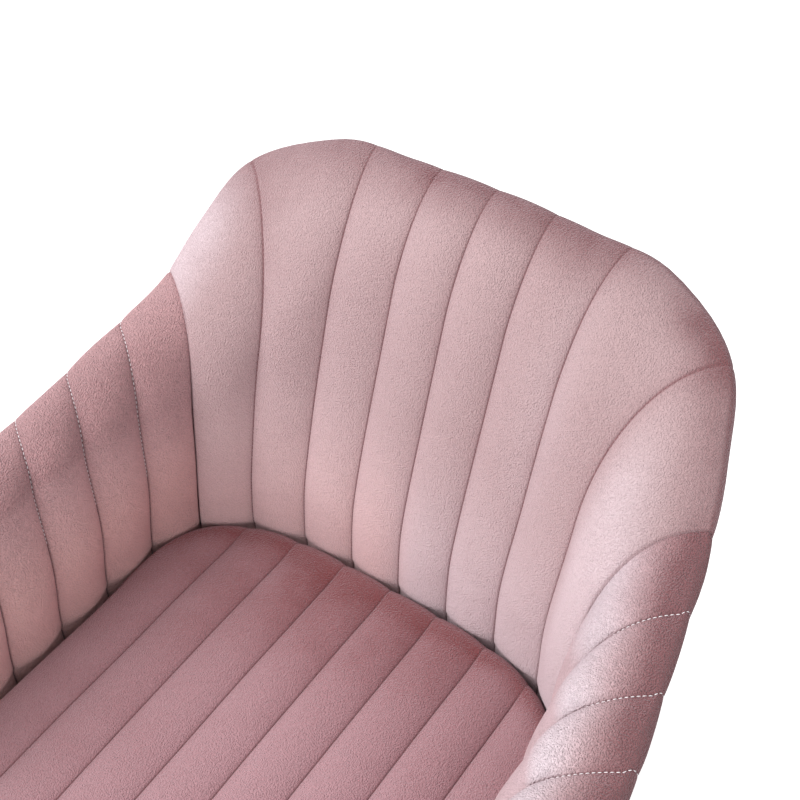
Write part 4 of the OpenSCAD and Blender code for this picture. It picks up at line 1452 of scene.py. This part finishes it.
@dataclass
class FrontBorder:
    """Upholstered board under the cushion, round at its edges.

    Attributes:
        tub: shape of the tub.
        edge_r: radius of the edges.
        wave, wave_seed: height and seed of the slow unevenness.
        columns, rows: size of the grid of points.
    """

    tub: Tub
    edge_r: float = 0.012
    wave: float = 0.0010
    wave_seed: int = 31
    columns: int = 90
    rows: int = 40

    def make(self, material: bpy.types.Material) -> None:
        """Builds the border as a box whose front is rounded at all four edges.

        Args:
            material: velvet of the border.
        """
        lo, hi = (np.array(v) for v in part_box("front_border"))
        k = np.sin(np.pi / 2 * np.linspace(-1, 1, self.columns + 1))
        v = np.sin(np.pi / 2 * np.linspace(-1, 1, self.rows + 1))
        x = mix(lo[0], hi[0], (k + 1) / 2)[:, None] + 0 * v[None, :]
        z = mix(lo[2], hi[2], (v + 1) / 2)[None, :] + 0 * k[:, None]
        near = np.minimum(np.minimum(x - lo[0], hi[0] - x), np.minimum(z - lo[2], hi[2] - z))
        shown = np.stack([x, lo[1] + turned_in(near, self.edge_r), z], axis=-1)
        shown[..., 1] += soft_waves(shown, self.wave, self.wave_seed) * ease(near / 0.03)
        back = shown.copy()
        back[..., 1] = hi[1]
        points, faces = ring_loft(shown, back[:, ::-1])
        Piece("front_border_cover", points, faces, "seat", "velvet_outside", material,
              replaces=("front_border",), fill=0.5, values=plain(points), sharp=50).make()


# ---- Materials ---------------------------------------------------------------------


class Nodes:
    """Builder of one node tree, which places and links nodes in reading order."""

    def __init__(self, tree: bpy.types.NodeTree) -> None:
        """Starts on an empty tree.

        Args:
            tree: the node tree to fill, whose old nodes are removed.
        """
        self.tree = tree
        self.tree.nodes.clear()
        self.count = 0

    def add(self, kind: str, **settings: object) -> bpy.types.Node:
        """Adds a node; settings that name an input set its value or link it.

        Args:
            kind: the node's type name in Blender.
            settings: properties of the node, or inputs written with spaces as underscores.

        Returns:
            The new node.
        """
        node = self.tree.nodes.new(kind)
        node.location = (self.count % 12 * 190, -(self.count // 12) * 320)
        self.count += 1
        for key, value in settings.items():
            if hasattr(node, key):
                setattr(node, key, value)
            else:
                self.feed(node, key.replace("_", " "), value)
        return node

    def feed(self, node: bpy.types.Node, key: str | int, value: object) -> None:
        """Sets an input, or links it where the value is another node's output.

        Args:
            node: the node that is fed.
            key: the input's name or index.
            value: a plain value, or another node's output.
        """
        socket = node.inputs[key]
        if isinstance(value, bpy.types.NodeSocket):
            self.tree.links.new(value, socket)
        else:
            socket.default_value = value

    def noise(self, at: bpy.types.NodeSocket, scale: float, detail: float = 2.0,
              rough: float = 0.5) -> bpy.types.NodeSocket:
        """Noise from 0 to 1 at a scale in features to the metre."""
        node = self.add("ShaderNodeTexNoise", Vector=at, Scale=scale, Detail=detail, Roughness=rough)
        return node.outputs[0]

    def math(self, operation: str, a: object, b: object = 0.0, clamp: bool = False) -> bpy.types.NodeSocket:
        """One arithmetic step.

        Args:
            operation: the step's name in Blender.
            a: first value or output.
            b: second value or output.
            clamp: True where the result is kept from 0 to 1.

        Returns:
            The result.
        """
        node = self.add("ShaderNodeMath", operation=operation, use_clamp=clamp)
        self.feed(node, 0, a)
        self.feed(node, 1, b)
        return node.outputs[0]

    def ramp(self, value: object, low: float, high: float, to_low: float = 0.0,
             to_high: float = 1.0) -> bpy.types.NodeSocket:
        """Maps a range onto another, with smooth ends.

        Args:
            value: the output that is mapped.
            low: start of its range.
            high: end of its range.
            to_low: result at the start and below.
            to_high: result at the end and above.

        Returns:
            The mapped value.
        """
        node = self.add("ShaderNodeMapRange", interpolation_type="SMOOTHSTEP")
        for i, v in enumerate((value, low, high, to_low, to_high)):
            self.feed(node, i, v)
        return node.outputs[0]

    def blend(self, share: object, a: object, b: object) -> bpy.types.NodeSocket:
        """Mixes two colours.

        Args:
            share: 0 for the first colour and 1 for the second.
            a: first colour.
            b: second colour.

        Returns:
            The mixed colour.
        """
        node = self.add("ShaderNodeMix", data_type="RGBA")
        # Of the node's inputs, 6 and 7 are the colours, and output 2 is the mixed colour.
        for i, v in ((0, share), (6, a), (7, b)):
            self.feed(node, i, v)
        return node.outputs[2]


def rgba(r: float, g: float, b: float) -> tuple[float, float, float, float]:
    """An opaque colour."""
    return (r, g, b, 1.0)


def new_group(name: str, inputs: dict[str, float], outputs: tuple[str, ...]) -> bpy.types.NodeTree:
    """Makes an empty shader group that takes a vector called At.

    Args:
        name: the group's name.
        inputs: its number inputs, with their defaults.
        outputs: its number outputs.

    Returns:
        The new group.
    """
    group = bpy.data.node_groups.new(name, "ShaderNodeTree")
    group.interface.new_socket("At", in_out="INPUT", socket_type="NodeSocketVector")
    for key, value in inputs.items():
        socket = group.interface.new_socket(key, in_out="INPUT", socket_type="NodeSocketFloat")
        socket.default_value = value
    for key in outputs:
        group.interface.new_socket(key, in_out="OUTPUT", socket_type="NodeSocketFloat")
    return group


def velvet_group() -> bpy.types.NodeTree:
    """Velvet pile: fine pebbled grain, brushed strokes and slow patches of turned nap.

    Returns:
        A group that puts out how dark the nap is, and the pile's height.
    """
    group = new_group("velvet_pile", {"Grain": 1.0, "Patches": 1.0}, ("Shade", "Height"))
    n = Nodes(group)
    start = n.add("NodeGroupInput")
    at = start.outputs["At"]
    pebble = n.noise(at, 540.0, 3.0, 0.62)
    fibre = n.noise(at, 2100.0, 1.0, 0.6)
    rounded = n.ramp(pebble, 0.24, 0.76)
    grain = n.math("ADD", n.math("MULTIPLY", rounded, 0.75), n.math("MULTIPLY", fibre, 0.25))
    slow = n.noise(at, 9.0, 3.0, 0.55)
    patch = n.math("MULTIPLY", n.ramp(slow, 0.42, 0.66), start.outputs["Patches"])
    speck = n.math("MULTIPLY", n.math("SUBTRACT", grain, 0.5), start.outputs["Grain"])
    shade = n.math("ADD", n.math("MULTIPLY", patch, 0.5), n.math("MULTIPLY", speck, 0.55))
    relief = n.math("ADD", n.noise(at, 690.0, 1.0, 0.5), n.math("MULTIPLY", fibre, 0.08))
    end = n.add("NodeGroupOutput")
    n.feed(end, "Shade", shade)
    n.feed(end, "Height", n.math("MULTIPLY", relief, start.outputs["Grain"]))
    return group


def wear_group() -> bpy.types.NodeTree:
    """Dust and small scuffs: a slow cloud and a fine speckle.

    Returns:
        A group that puts out a mask of the wear, and the speckle's height.
    """
    group = new_group("scuffs", {"Amount": 1.0}, ("Mask", "Height"))
    n = Nodes(group)
    start = n.add("NodeGroupInput")
    cloud = n.noise(start.outputs["At"], 24.0, 4.0, 0.6)
    speck = n.noise(start.outputs["At"], 900.0, 2.0, 0.6)
    mask = n.math("MULTIPLY", n.ramp(cloud, 0.45, 0.75), start.outputs["Amount"])
    end = n.add("NodeGroupOutput")
    n.feed(end, "Mask", n.math("ADD", mask, n.math("MULTIPLY", n.ramp(speck, 0.62, 0.75), 0.15), True))
    n.feed(end, "Height", speck)
    return group


@dataclass(frozen=True)
class Velvet:
    """Cut velvet: a base colour, patches of turned nap, dark nap with painted shade on the rim, painted
    light and painted bounce light, and dark sewn lines with painted shade beside them.

    Attributes:
        name: name of the material.
        colour, dark, pale, glow, line: colours of the plain velvet, of the dark nap with painted shade,
        of the painted light, of the painted bounce light, and of the sewn lines with their painted shade.
        rim_dark: strength of the dark nap with painted shade where the mesh asks for it.
        patches: strength of the slow patches of turned nap.
        grain: strength of the pile's speckle and relief.
        sheen, sheen_rough, sheen_tint: the shimmer at grazing angles.
        bump: height of the relief.
        stitched: strength of the sewn lines.
    """

    name: str
    colour: tuple[float, float, float]
    dark: tuple[float, float, float]
    # pale is the colour of the painted light, partly brushed nap.
    pale: tuple[float, float, float] = (0.86, 0.72, 0.765)
    line: tuple[float, float, float] = (0.17, 0.034, 0.036)
    # glow is the colour of the painted bounce light low down.
    glow: tuple[float, float, float] = (0.82, 0.50, 0.48)
    rim_dark: float = 0.0
    patches: float = 0.5
    grain: float = 0.62
    sheen: float = 0.6
    sheen_rough: float = 0.6
    sheen_tint: tuple[float, float, float] = (1.0, 0.80, 0.87)
    bump: float = 0.0045
    stitched: float = 0.85

    def make(self, group: bpy.types.NodeTree) -> bpy.types.Material:
        """Builds the material from the velvet group and the mesh's own values.

        Args:
            group: the velvet pile's group.

        Returns:
            The new material.
        """
        material = bpy.data.materials.new(self.name)
        material.use_nodes = True
        n = Nodes(material.node_tree)
        at = n.add("ShaderNodeTexCoord").outputs["Object"]
        pile = n.add("ShaderNodeGroup", node_tree=group, Grain=self.grain, Patches=self.patches)
        n.feed(pile, "At", at)
        seam = n.add("ShaderNodeAttribute", attribute_name="seam").outputs["Fac"]
        rim = n.add("ShaderNodeAttribute", attribute_name="rim").outputs["Fac"]
        # Painted light on the wings, the foot and the right arm's crest, partly brushed nap.
        painted_light = n.add("ShaderNodeAttribute", attribute_name="light").outputs["Fac"]
        # Painted bounce light, low down beside the seat.
        painted_bounce = n.add("ShaderNodeAttribute", attribute_name="painted_bounce").outputs["Fac"]
        # Slow noise breaks up the rim's dark nap and painted shade.
        nap = n.noise(at, 14.0, 3.0, 0.6)
        turned = n.math("MULTIPLY", n.math("MULTIPLY", rim, self.rim_dark), n.ramp(nap, 0.3, 0.7, 0.75, 1.0))
        shade = n.math("ADD", pile.outputs["Shade"], turned, True)
        colour = n.blend(painted_light, rgba(*self.colour), rgba(*self.pale))
        colour = n.blend(painted_bounce, colour, rgba(*self.glow))
        colour = n.blend(shade, colour, rgba(*self.dark))
        # Sewn lines: a dark line in each seam's valley, with painted shade beside it.
        colour = n.blend(n.math("MULTIPLY", seam, self.stitched), colour, rgba(*self.line))
        bump = n.add("ShaderNodeBump", Strength=1.0, Distance=self.bump, Height=pile.outputs["Height"])
        shader = n.add("ShaderNodeBsdfPrincipled", Base_Color=colour, Roughness=0.88, Normal=bump.outputs[0])
        n.feed(shader, "Specular IOR Level", 0.15)
        n.feed(shader, "Sheen Weight", self.sheen)
        n.feed(shader, "Sheen Roughness", self.sheen_rough)
        n.feed(shader, "Sheen Tint", rgba(*self.sheen_tint))
        n.feed(n.add("ShaderNodeOutputMaterial"), 0, shader.outputs[0])
        return material


@dataclass(frozen=True)
class Hard:
    """A hard finish: one colour with scuffs, and metal, polish or grain as it needs.

    Attributes:
        name: name of the material.
        colour, worn: colours of the finish and of its scuffs.
        metallic, roughness: gloss of the finish.
        wear: amount of scuffs.
        brushed: features to the metre along x, y and z of brush marks or grain, or None.
        bump: height of the relief.
        grain: True for wood, whose marks are stronger.
    """

    name: str
    colour: tuple[float, float, float]
    worn: tuple[float, float, float]
    metallic: float = 0.0
    roughness: float = 0.5
    wear: float = 0.4
    brushed: tuple[float, float, float] | None = None
    bump: float = 0.00004
    grain: bool = False

    def make(self, group: bpy.types.NodeTree) -> bpy.types.Material:
        """Builds the material, with brush marks or wood grain stretched along an axis.

        Args:
            group: the scuffs' group.

        Returns:
            The new material.
        """
        material = bpy.data.materials.new(self.name)
        material.use_nodes = True
        n = Nodes(material.node_tree)
        at = n.add("ShaderNodeTexCoord").outputs["Object"]
        scuff = n.add("ShaderNodeGroup", node_tree=group, Amount=self.wear)
        n.feed(scuff, "At", at)
        height = scuff.outputs["Height"]
        colour = n.blend(scuff.outputs["Mask"], rgba(*self.colour), rgba(*self.worn))
        if self.brushed:
            mapped = n.add("ShaderNodeMapping")
            n.feed(mapped, "Vector", at)
            n.feed(mapped, "Scale", self.brushed)
            lines = n.noise(mapped.outputs[0], 1.0, 3.0, 0.6)
            share = 0.55 if self.grain else 0.18
            colour = n.blend(n.ramp(lines, 0.35, 0.7, 0.0, share), colour, rgba(*self.worn))
            height = n.math("ADD", height, lines)
        rough = n.ramp(scuff.outputs["Mask"], 0.0, 1.0, self.roughness, min(self.roughness + 0.18, 1.0))
        bump = n.add("ShaderNodeBump", Strength=0.6, Distance=self.bump, Height=height)
        shader = n.add("ShaderNodeBsdfPrincipled", Base_Color=colour, Roughness=rough, Normal=bump.outputs[0])
        n.feed(shader, "Metallic", self.metallic)
        n.feed(n.add("ShaderNodeOutputMaterial"), 0, shader.outputs[0])
        return material


# ---- Studio ------------------------------------------------------------------------


@dataclass(frozen=True)
class Studio:
    """White room, high soft key from the left, weak fill, and the camera above the right arm.

    Attributes:
        camera_at: place of the camera.
        azimuth, elevation: turn of the camera from the front, and how far it looks down, in
            degrees.
        lens: focal length in millimetres.
        key_at, key_to, key_size, key_energy: the key light: place, aim, side and watts.
        fill_at, fill_to, fill_size, fill_energy: the fill light.
        world: strength of the light from all around.
        floor_half: half the side of the floor.
    """

    camera_at: tuple[float, float, float] = (0.4936, -0.5066, 1.5981)
    azimuth: float = 34.56
    elevation: float = 45.20
    lens: float = 60.5
    key_at: tuple[float, float, float] = (-1.95, -1.65, 2.80)
    key_to: tuple[float, float, float] = (0.0, 0.05, 0.60)
    key_size: float = 2.5
    key_energy: float = 118.8
    fill_at: tuple[float, float, float] = (1.7, -2.3, 2.1)
    fill_to: tuple[float, float, float] = (0.0, 0.0, 0.5)
    fill_size: float = 1.6
    fill_energy: float = 17.6
    world: float = 0.67
    floor_half: float = 8.0

    def make(self) -> None:
        """Builds the camera, lights, world and floor."""
        scene = bpy.context.scene
        scene.view_settings.view_transform = "Standard"
        data = bpy.data.cameras.new("camera")
        data.lens, data.sensor_width = self.lens, 36.0
        data.clip_start, data.clip_end = 0.01, 100
        camera = bpy.data.objects.new("camera", data)
        bpy.context.collection.objects.link(camera)
        camera.location = self.camera_at
        camera.rotation_euler = (math.radians(90 - self.elevation), 0, math.radians(self.azimuth))
        scene.camera = camera
        self.area("key", self.key_at, self.key_to, self.key_size, self.key_energy)
        self.area("fill", self.fill_at, self.fill_to, self.fill_size, self.fill_energy)
        self.surround()
        self.floor()

    def area(self, name: str, at: tuple[float, float, float], to: tuple[float, float, float], size: float,
             energy: float) -> None:
        """Adds a square soft light that faces a point.

        Args:
            name: the light's name.
            at: where it hangs.
            to: the point that it faces.
            size: length of its side.
            energy: its power in watts.
        """
        data = bpy.data.lights.new(name, "AREA")
        data.energy, data.size = energy, size
        light = bpy.data.objects.new(name, data)
        bpy.context.collection.objects.link(light)
        light.location = at
        way = np.array(to) - np.array(at)
        flat = math.hypot(way[0], way[1])
        light.rotation_euler = (math.atan2(flat, -way[2]), 0, math.atan2(way[1], way[0]) - math.pi / 2)

    def surround(self) -> None:
        """World that lights the chair plainly and shows white behind it."""
        world = bpy.data.worlds.new("room")
        bpy.context.scene.world = world
        world.use_nodes = True
        n = Nodes(world.node_tree)
        path = n.add("ShaderNodeLightPath")
        seen = n.math("MAXIMUM", path.outputs["Is Camera Ray"], n.math(
            "MAXIMUM", path.outputs["Is Glossy Ray"], path.outputs["Is Transmission Ray"]))
        light = n.add("ShaderNodeBackground", Color=rgba(1, 1, 1), Strength=self.world)
        white = n.add("ShaderNodeBackground", Color=rgba(1, 1, 1), Strength=1.0)
        both = n.add("ShaderNodeMixShader")
        for i, v in enumerate((seen, light.outputs[0], white.outputs[0])):
            n.feed(both, i, v)
        n.feed(n.add("ShaderNodeOutputWorld"), 0, both.outputs[0])

    def floor(self) -> None:
        """Wide pale floor that keeps the chair's shadow."""
        mesh = bpy.data.meshes.new("floor")
        h = self.floor_half
        mesh.from_pydata([(-h, -h, 0), (h, -h, 0), (h, h, 0), (-h, h, 0)], [], [(0, 1, 2, 3)])
        material = bpy.data.materials.new("floor")
        material.use_nodes = True
        n = Nodes(material.node_tree)
        shader = n.add("ShaderNodeBsdfPrincipled", Base_Color=rgba(0.90, 0.90, 0.90), Roughness=0.9)
        glow = n.add("ShaderNodeEmission", Color=rgba(1, 1, 1), Strength=0.5)
        path = n.add("ShaderNodeLightPath")
        seen = n.add("ShaderNodeMixShader")
        for i, v in enumerate((path.outputs["Is Camera Ray"], shader.outputs[0])):
            n.feed(seen, i, v)
        both = n.add("ShaderNodeAddShader")
        n.feed(both, 0, shader.outputs[0])
        n.feed(both, 1, glow.outputs[0])
        n.feed(seen, 2, both.outputs[0])
        n.feed(n.add("ShaderNodeOutputMaterial"), 0, seen.outputs[0])
        mesh.materials.append(material)
        floor = bpy.data.objects.new("floor", mesh)
        bpy.context.collection.objects.link(floor)


# ---- The chair ---------------------------------------------------------------------


VELVET = Velvet("velvet_quilted", (0.500, 0.338, 0.345), (0.190, 0.065, 0.068), rim_dark=1.1, patches=0.2)
ARM_VELVET = Velvet("velvet_arm", (0.745, 0.428, 0.440), (0.262, 0.098, 0.104), rim_dark=1.45, patches=0.2,
                    grain=0.75, pale=(0.93, 0.79, 0.85), bump=0.0078, sheen=0.42, glow=(0.95, 0.54, 0.51))
# The pale thread with painted shade, for stitches that lie in the seams' valleys.
SHADED_THREAD = Velvet("shaded_thread", (0.20, 0.085, 0.085), (0.13, 0.05, 0.05), grain=0.2)
PALE_THREAD = Velvet("pale_thread", (0.96, 0.91, 0.93), (0.88, 0.78, 0.81), grain=0.2)
# The seat's velvet is darker and redder than the back's: partly its nap, partly painted shade.
SEAT_VELVET = Velvet("velvet_seat", (0.468, 0.256, 0.282), (0.200, 0.034, 0.034), rim_dark=1.0, patches=0.25)
OUTSIDE_VELVET = Velvet("velvet_outside", (0.500, 0.315, 0.325), (0.230, 0.100, 0.110), patches=0.3)
HARD = {
    "brushed_gold": Hard("brushed_gold", (0.72, 0.52, 0.28), (0.50, 0.34, 0.17), 1.0, 0.32, 0.25,
                         brushed=(6.0, 900.0, 900.0)),
    "black_steel": Hard("black_steel", (0.022, 0.022, 0.024), (0.060, 0.060, 0.062), 0.0, 0.48, 0.35,
                        bump=0.00008),
    "zinc_steel": Hard("zinc_steel", (0.58, 0.59, 0.61), (0.42, 0.42, 0.43), 1.0, 0.36, 0.5,
                       brushed=(700.0, 700.0, 20.0)),
    "nylon": Hard("nylon", (0.80, 0.78, 0.71), (0.62, 0.60, 0.55), 0.0, 0.42, 0.3),
    "black_rubber": Hard("black_rubber", (0.018, 0.018, 0.018), (0.055, 0.053, 0.050), 0.0, 0.8, 0.6),
    "black_lining": Hard("black_lining", (0.020, 0.020, 0.021), (0.045, 0.045, 0.047), 0.0, 0.95, 0.8,
                         bump=0.0002),
    "birch": Hard("birch", (0.66, 0.49, 0.31), (0.46, 0.30, 0.16), 0.0, 0.6, 0.25,
                  brushed=(9.0, 160.0, 160.0), grain=True),
}


@dataclass
class Chair:
    """The whole chair: dresses the frame's nodes and adds its soft pieces.

    Attributes:
        tub: shape of the tub.
        quilt, arm_quilt: quilting of the back and seat, and of the arms.
        back_seams, arm_seams: stations of the seams.
        slit: half the gap between two pads or panels that meet, in stations.
    """

    tub: Tub = field(default_factory=Tub)
    quilt: Quilting = field(default_factory=Quilting)
    arm_quilt: Quilting = Quilting(pitch=0.066, puff=0.0095, notch=0.0016, line_w=0.0011)
    back_seams: tuple[float, ...] = (-3.0, -2.0, -1.0, 0.0, 1.0, 2.0, 3.0)
    arm_seams: tuple[float, ...] = (5.0, 6.0, 7.0, 8.0, 9.0, 10.0)
    slit: float = 0.006

    def dress_nodes(self, group: bpy.types.NodeTree) -> None:
        """Gives every node of the frame the finish that its slot in the record names.

        Args:
            group: the scuffs' group.
        """
        made = {name: finish.make(group) for name, finish in HARD.items()}
        for part in frame["record"]["subparts"]:
            finish = made.get(part["material_slot"])
            if finish is None:
                continue
            node = frame["nodes"][part["node"]]
            for i in range(max(len(node.material_slots), 1)):
                if not node.material_slots:
                    node.data.materials.append(finish)
                node.material_slots[i].material = finish
            LOG.info("%s: %s", part["node"], finish.name)

    def make(self) -> None:
        """Builds every piece in order."""
        pile, scuffs = velvet_group(), wear_group()
        self.dress_nodes(scuffs)
        velvet, arm, seat, outside = (v.make(pile) for v in (VELVET, ARM_VELVET, SEAT_VELVET, OUTSIDE_VELVET))
        # The thread with painted shade sews the walls and the seat; the pale thread sews the rims and
        # outsides.
        shaded, pale = SHADED_THREAD.make(pile), PALE_THREAD.make(pile)
        thread = Thread()
        tub, slit = self.tub, self.slit
        Wall(tub, self.quilt, "back_pad", "back_quilt", slit - tub.join, tub.join - slit,
             self.back_seams).make(velvet, "velvet_quilted", thread, shaded, shaded)
        for side in Side:
            word = side.name.lower()
            if side is Side.LEFT:
                tub = replace(self.tub, roll_w=LEFT_ROLL_W, edge_r=LEFT_EDGE_R)
            else:
                tub = self.tub
            Wall(tub, self.arm_quilt, f"{word}_arm_pad", f"{word}_arm_quilt", tub.join + slit, tub.last,
                 self.arm_seams, side, rim_from=0.46, rim_to=1.12, thread_lift=0.0002,
                 crest_w=0.38).make(arm, "velvet_quilted", thread, shaded, pale)
            OutsidePanel(tub, f"{word}_outer_panel", f"{word}_outside", tub.panel_join + slit, tub.last,
                         side).make(outside, thread, pale)
            ArmNose(tub, side).make(outside)
        tub = self.tub
        OutsidePanel(tub, "outer_back_panel", "back_outside", slit - tub.panel_join, tub.panel_join - slit,
                     columns=120).make(outside, thread, pale)
        Cushion(tub, self.quilt).make(seat, thread, shaded)
        FrontBorder(tub).make(outside)


def main() -> None:
    """Builds the studio and the chair."""
    logging.basicConfig(level=logging.INFO, format="%(name)s: %(message)s")
    Studio().make()
    Chair().make()


if __name__ == "__main__":
    main()
